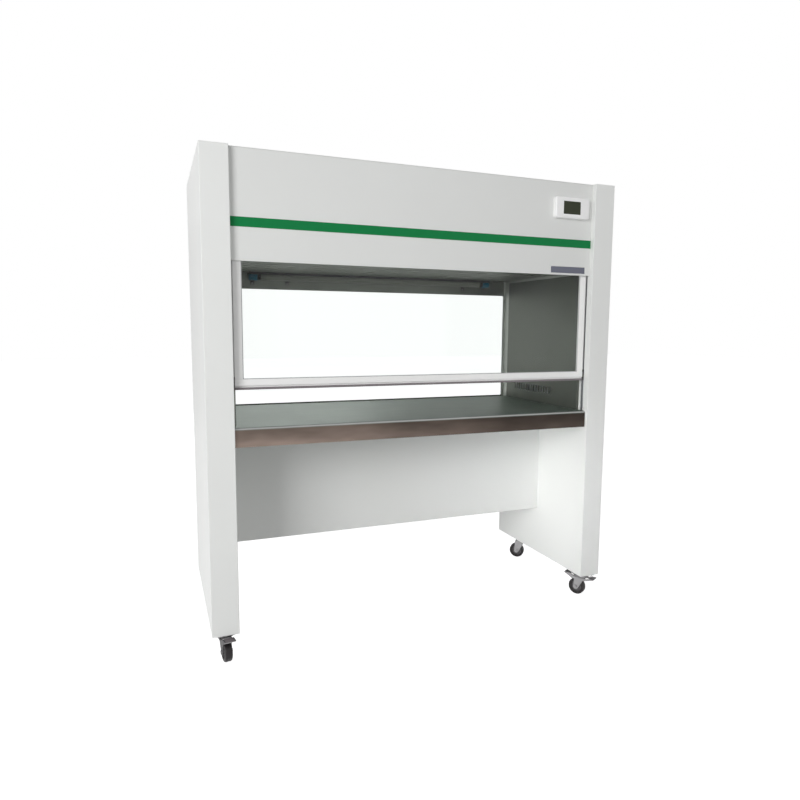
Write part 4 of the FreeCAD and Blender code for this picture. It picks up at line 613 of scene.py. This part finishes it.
class CABINET_OT_display_shell(bpy.types.Operator):
    """Models the display's moulded shell with its rounded rim and the recess of the screen"""
    bl_idname = "cabinet.display_shell"
    bl_label = "Display shell"

    def execute(self, context):
        low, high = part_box("display_housing")
        glass_low, glass_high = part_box("display_screen")
        shell = box(low / MM, high / MM)
        shallow = (high.y - low.y) / 2
        pick(shell, "EDGE", lambda edge: abs(edge.verts[0].co.y - edge.verts[1].co.y) > shallow)
        bpy.ops.mesh.bevel(offset=SHELL_CORNER * MM, segments=SHELL_CORNER_STEPS, affect="EDGES")
        front = low.y + SAME_PLACE
        pick(shell, "EDGE", lambda edge: all(vertex.co.y < front for vertex in edge.verts))
        bpy.ops.mesh.bevel(offset=SHELL_RIM * MM, segments=SHELL_RIM_STEPS, affect="EDGES")
        pick(shell, "FACE", lambda face: face.normal.y < -FACING and face.calc_area() > SHELL_FRONT_AREA)
        bpy.ops.mesh.inset(thickness=SHELL_INSET * MM)
        self.fit_opening(shell, glass_low, glass_high)
        bpy.ops.mesh.extrude_region_move(TRANSFORM_OT_translate={"value": (0, glass_high.y - low.y, 0)})
        face_outwards()
        flatten_shading(settle(shell, SHELL_SMOOTH_BELOW))
        fit(shell, "display_shell", finish_of("display_housing"), "display_plastic", "cabinet",
            "display_housing")
        return {"FINISHED"}

    def fit_opening(self, shell, glass_low, glass_high):
        """Makes the selected face of the shell as wide and as high as the screen, and centres it there."""
        mesh = bmesh.from_edit_mesh(shell.data)
        spots = [vertex.co.copy() for vertex in mesh.verts if vertex.select]
        low = Vector([min(spot[axis] for spot in spots) for axis in range(3)])
        high = Vector([max(spot[axis] for spot in spots) for axis in range(3)])
        middle, opening = (low + high) / 2, glass_high - glass_low
        bpy.ops.transform.resize(value=(opening.x / (high.x - low.x), 1, opening.z / (high.z - low.z)),
                                 center_override=middle)
        shift = (glass_low + glass_high) / 2 - middle
        bpy.ops.transform.translate(value=(shift.x, 0, shift.z))


class CABINET_OT_lamp_fittings(bpy.types.Operator):
    """Models the stepped lamp holders, the metal rings at the ends of the tube and a black batten above it
    that paints the shadow line over the tube
    """
    bl_idname = "cabinet.lamp_fittings"
    bl_label = "Lamp fittings"

    def execute(self, context):
        low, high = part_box("lamp_end_caps")
        left, right = low.x / MM, high.x / MM
        y, z = (low.y + high.y) / 2 / MM, (low.z + high.z) / 2 / MM
        ends = [((left, y, z), (1, 0, 0)), ((right, y, z), (-1, 0, 0))]
        holders, ferrules = ([turned(spot, along, (0, 0, 1), profile, LAMP_STEPS) for spot, along in ends]
                             for profile in (HOLDER, FERRULE))
        fit(joined(*holders), "lamp_holders", finish_of("lamp_end_caps"), "cap_blue", "cabinet",
            "lamp_end_caps")
        fit(joined(*ferrules), "lamp_ferrules", finish_of("lamp_clips"), "aluminium", "cabinet")
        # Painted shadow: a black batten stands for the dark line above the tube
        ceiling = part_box("ceiling_diffuser")[0].z / MM
        front = y - BATTEN_FRONT
        lip = box((left, front, ceiling - BATTEN_DROP), (right, front + BATTEN_GAUGE, ceiling))
        flange = box((left, front, ceiling - BATTEN_GAUGE), (right, y + BATTEN_BACK, ceiling))
        fit(joined(lip, flange), "lamp_batten", finish_of("sash_glides"), "gasket_rubber", "cabinet")
        return {"FINISHED"}


class CABINET_OT_corner_trims(bpy.types.Operator):
    """Models the bright angles in the corners of the work chamber"""
    bl_idname = "cabinet.corner_trims"
    bl_label = "Corner trims"

    def execute(self, context):
        trim = brushed("trim_steel", (0.42, 0.44, 0.41), 0.4, ALONG_Z, metallic=0.7)
        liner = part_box("chamber_liner_right")[0]
        wall, front = liner.x / MM, liner.y / MM
        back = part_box("rear_wall_frame")[0].y / MM
        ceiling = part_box("ceiling_diffuser")[0].z / MM
        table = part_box("worktop")[1].z / MM
        legs = [(wall - TRIM_REAR_LEG, back - TRIM_GAUGE, table),
                (wall - TRIM_GAUGE, back - TRIM_SIDE_LEG, table),
                (wall - TRIM_GAUGE, front, ceiling - TRIM_DROP_LEG),
                (wall - TRIM_CEILING_LEG, front, ceiling - TRIM_GAUGE)]
        for word, sense in (("left", -1), ("right", 1)):
            parts = []
            for x, y, z in legs:
                near, far = sorted((sense * x, sense * wall))
                parts.append(box((near, y, z), (far, back, ceiling)))
            fit(joined(*parts), f"corner_trim_{word}", trim, "stainless", "cabinet")
        return {"FINISHED"}


class CABINET_OT_sash_seals(bpy.types.Operator):
    """Models the bead round the sash glass and the brushes beside the stiles"""
    bl_idname = "cabinet.sash_seals"
    bl_label = "Sash seals"

    def execute(self, context):
        stile_low, stile_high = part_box("sash_stile_right")
        inside = stile_low.x / MM
        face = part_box("sash_glass")[0].y / MM
        bead = box((-inside, face - BEAD_DEPTH, stile_low.z / MM), (inside, face, stile_high.z / MM))
        pick(bead, "FACE", lambda side: abs(side.normal.y) > FACING)
        bpy.ops.mesh.inset(thickness=BEAD_WIDTH * MM)
        bpy.ops.mesh.delete(type="FACE")
        pick(bead, "EDGE", lambda edge: edge.is_boundary)
        bpy.ops.mesh.bridge_edge_loops()
        face_outwards()
        fit(bevel_all(settle(bead), BEAD_EDGE), "sash_glass_bead",
            plastic("glazing_bead", (0.45, 0.45, 0.46), 0.5), "gasket_rubber", "sash")
        glide_low, glide_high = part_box("sash_glides")
        bottom, top = glide_low.z / MM + BRUSH_SHORTER, glide_high.z / MM - BRUSH_SHORTER
        side = stile_high.x / MM
        middle = (stile_low.y + stile_high.y) / 2 / MM
        bristle = bristles()
        for word, sense in (("left", -1), ("right", 1)):
            near, far = sorted((sense * side, sense * (side + BRUSH_REACH)))
            brush = box((near, middle - BRUSH_HALF, bottom), (far, middle + BRUSH_HALF, top))
            fit(bevel_all(brush, BRUSH_EDGE), f"sash_brush_{word}", bristle, "gasket_rubber", "sash")
        return {"FINISHED"}


class CABINET_OT_casters(bpy.types.Operator):
    """Models the tyres, the hubs and the ribs on the brake pedals"""
    bl_idname = "cabinet.casters"
    bl_label = "Casters"

    def execute(self, context):
        rubber = finish_of("caster_front_left_wheel")
        moulded = plastic("hub_plastic", (0.065, 0.06, 0.063), 0.4)
        for place, degrees in CASTER_TURNS.items():
            node, body = f"caster_{place}_wheel", f"wheel_{place}"
            low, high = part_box(node)
            turn = math.radians(degrees)
            axle = (math.cos(turn), math.sin(turn), 0)
            spot = (low + high) / 2 / MM
            tyre = turned(spot, axle, (0, 0, 1), TYRE, TYRE_STEPS)
            fit(tyre, f"caster_{place}_tyre", rubber, "wheel_dark", body, node)
            hub = turned(spot, axle, (0, 0, 1), HUB, HUB_STEPS)
            fit(hub, f"caster_{place}_hub", moulded, "wheel_dark", body)
            if place in SWIVELS:
                self.ribs(place, turn)
        return {"FINISHED"}

    def ribs(self, place, turn):
        """Rubber ribs on the toe plate of the pedal."""
        x, y = SWIVELS[place]
        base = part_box(f"caster_{place}_brake")[1].z / MM
        rib = box((x - RIB_HALF, y - RIB_FRONT, base), (x + RIB_HALF, y - RIB_BACK, base + RIB_HEIGHT),
                  turn, (x, y))
        step = Matrix.Rotation(turn, 3, "Z") @ Vector((0, RIB_PITCH, 0))
        repeated(rib, [step * count for count in range(1, RIB_COUNT)])
        fit(bevel_all(rib, RIB_EDGE), f"caster_{place}_pedal_ribs", finish_of("sash_grip"), "grip_grey",
            f"brake_{place}")


class CABINET_OT_screws(bpy.types.Operator):
    """Models the screws of the panels, the window frame, the lamp brackets, the inlet and the ceiling"""
    bl_idname = "cabinet.screws"
    bl_label = "Screws"

    def execute(self, context):
        radius = settings().screw_radius
        zinc = brushed("screw_zinc", (0.42, 0.42, 0.43), 0.3)
        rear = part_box("canopy_rear_panel")[1].y / MM
        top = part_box("canopy_top_cover")[1].z / MM
        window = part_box("rear_window_retainer")[1].y / MM
        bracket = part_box("lamp_clips")[1].y / MM - CLIP_GAUGE
        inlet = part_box("mains_inlet")[1].y / MM
        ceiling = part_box("ceiling_diffuser")[0].z / MM
        canopy_x, panel_z, cover_y = (-620, -310, 0, 310, 620), (1292, 1581), (-275, 285)
        window_x, window_z = (-560, -280, 0, 280, 560), (742, 1246)
        window_side_x, window_side_z = (-645, 645), (830, 986, 1142)
        bracket_x, bracket_z = (-506, -368, 420, 524), 1237.5
        inlet_x, inlet_z = (545, 585), 1470
        ceiling_x, ceiling_y = (-640, -320, 0, 320, 640), (-245, 270)
        forwards, backwards, upwards, downwards = (0, -1, 0), (0, 1, 0), (0, 0, 1), (0, 0, -1)
        groups = {
            "canopy_rear_screws": (radius, backwards, [(x, rear, z) for x in canopy_x for z in panel_z]),
            "canopy_top_screws": (radius, upwards, [(x, y, top) for x in canopy_x for y in cover_y]),
            "window_frame_screws": (radius, backwards,
                                    [(x, window, z) for x in window_x for z in window_z]
                                    + [(x, window, z) for x in window_side_x for z in window_side_z]),
            "lamp_bracket_screws": (SMALL_SCREW, forwards, [(x, bracket, bracket_z) for x in bracket_x]),
            "inlet_screws": (INLET_SCREW, backwards, [(x, inlet, inlet_z) for x in inlet_x]),
            "ceiling_screws": (SMALL_SCREW, downwards,
                               [(x, y, ceiling) for x in ceiling_x for y in ceiling_y]),
        }
        for name, (size, outwards, spots) in groups.items():
            head = [(size * along, size * out) for along, out in SCREW_HEAD]
            screw = turned(spots[0], outwards, (1, 0, 0), head, SCREW_STEPS)
            shifts = [Vector(spot) - Vector(spots[0]) for spot in spots[1:]]
            fit(repeated(screw, shifts), name, zinc, "zinc", "cabinet")
        return {"FINISHED"}


class CABINET_OT_stage(bpy.types.Operator):
    """Makes the floor, the lights and the camera"""
    bl_idname = "cabinet.stage"
    bl_label = "Stage"

    def execute(self, context):
        looks = settings()
        bpy.ops.object.select_all(action="DESELECT")
        bpy.ops.mesh.primitive_plane_add(size=FLOOR_WIDTH, location=(0, 0, 0))
        floor = context.active_object
        floor.name = "studio_floor"
        floor.data.materials.append(floor_finish())
        make_sky(looks.sky_strength)
        for name, (place, aim, size, spread) in LAMPS.items():
            add_lamp(f"{name}_lamp", place, aim, size, getattr(looks, f"{name}_power"), spread)
        add_camera()
        context.scene.view_settings.view_transform = "Standard"
        return {"FINISHED"}


def seen_directly(recipe):
    """1 for camera, mirror and glass rays, 0 for the rest."""
    path = recipe.add("ShaderNodeLightPath")
    total = path.outputs["Is Camera Ray"]
    for ray in ("Is Glossy Ray", "Is Transmission Ray"):
        total = recipe.combine("MAXIMUM", total, path.outputs[ray])
    return total


def floor_finish():
    """Pale floor that looks white and keeps the object's shadow."""
    recipe = new_material("studio_floor")
    recipe.set(Roughness=0.9, Base_Color=(FLOOR_GREY, FLOOR_GREY, FLOOR_GREY, 1), Specular_IOR_Level=0.0,
               Emission_Color=(1, 1, 1, 1))
    recipe.wire("Emission Strength", recipe.combine("MULTIPLY", seen_directly(recipe), FLOOR_GLOW))
    return recipe.owner


def make_sky(strength):
    """Even light all round, seen as white."""
    world = bpy.data.worlds.new("studio_sky")
    bpy.context.scene.world = world
    recipe = Recipe(world)
    background = recipe.tree.nodes["Background"]
    background.inputs["Color"].default_value = (1, 1, 1, 1)
    recipe.link(recipe.remap(seen_directly(recipe), strength, 1.0), background.inputs["Strength"])


def add_lamp(name, place, aim, size, power, spread):
    """A square soft lamp that points at a spot; the spread is in degrees."""
    lamp = bpy.data.lights.new(name, "AREA")
    lamp.size = size
    lamp.energy = power
    lamp.spread = math.radians(spread)
    thing = bpy.data.objects.new(name, lamp)
    bpy.context.scene.collection.objects.link(thing)
    thing.location = place
    thing.rotation_mode = "QUATERNION"
    thing.rotation_quaternion = (Vector(aim) - Vector(place)).to_track_quat("-Z", "Y")


def add_camera():
    """The camera at the photograph's viewing angle."""
    data = bpy.data.cameras.new("camera")
    data.sensor_width = SENSOR_WIDTH
    data.lens = LENS
    camera = bpy.data.objects.new("camera", data)
    bpy.context.scene.collection.objects.link(camera)
    axes = Matrix((CAMERA_RIGHT, CAMERA_UP, CAMERA_BACK)).transposed()
    camera.matrix_world = Matrix.Translation(CAMERA_PLACE) @ axes.to_4x4()
    bpy.context.scene.camera = camera


class CABINET_PT_looks(bpy.types.Panel):
    """Lists the cabinet's steps and settings"""
    bl_idname = "CABINET_PT_looks"
    bl_label = "Cabinet"
    bl_space_type = "VIEW_3D"
    bl_region_type = "UI"
    bl_category = "Cabinet"

    def draw(self, context):
        for name in CabinetLooks.__annotations__:
            self.layout.prop(settings(), name)
        for step in STEPS:
            self.layout.operator(step.bl_idname)


STEPS = (CABINET_OT_finishes, CABINET_OT_folded_sheets, CABINET_OT_display_shell, CABINET_OT_lamp_fittings,
         CABINET_OT_corner_trims, CABINET_OT_sash_seals, CABINET_OT_casters, CABINET_OT_screws,
         CABINET_OT_stage)
CLASSES = (CabinetLooks, *STEPS, CABINET_PT_looks)


def register():
    """Adds the classes and the scene's settings."""
    for item in CLASSES:
        bpy.utils.register_class(item)
    bpy.types.Scene.cabinet_looks = bpy.props.PointerProperty(type=CabinetLooks)


def unregister():
    """Takes the classes and the scene's settings away."""
    del bpy.types.Scene.cabinet_looks
    for item in reversed(CLASSES):
        bpy.utils.unregister_class(item)


def main():
    """Runs every step in order."""
    register()
    bpy.ops.cabinet.finishes()
    bpy.ops.cabinet.folded_sheets()
    bpy.ops.cabinet.display_shell()
    bpy.ops.cabinet.lamp_fittings()
    bpy.ops.cabinet.corner_trims()
    bpy.ops.cabinet.sash_seals()
    bpy.ops.cabinet.casters()
    bpy.ops.cabinet.screws()
    bpy.ops.cabinet.stage()


if __name__ == "__main__":
    main()
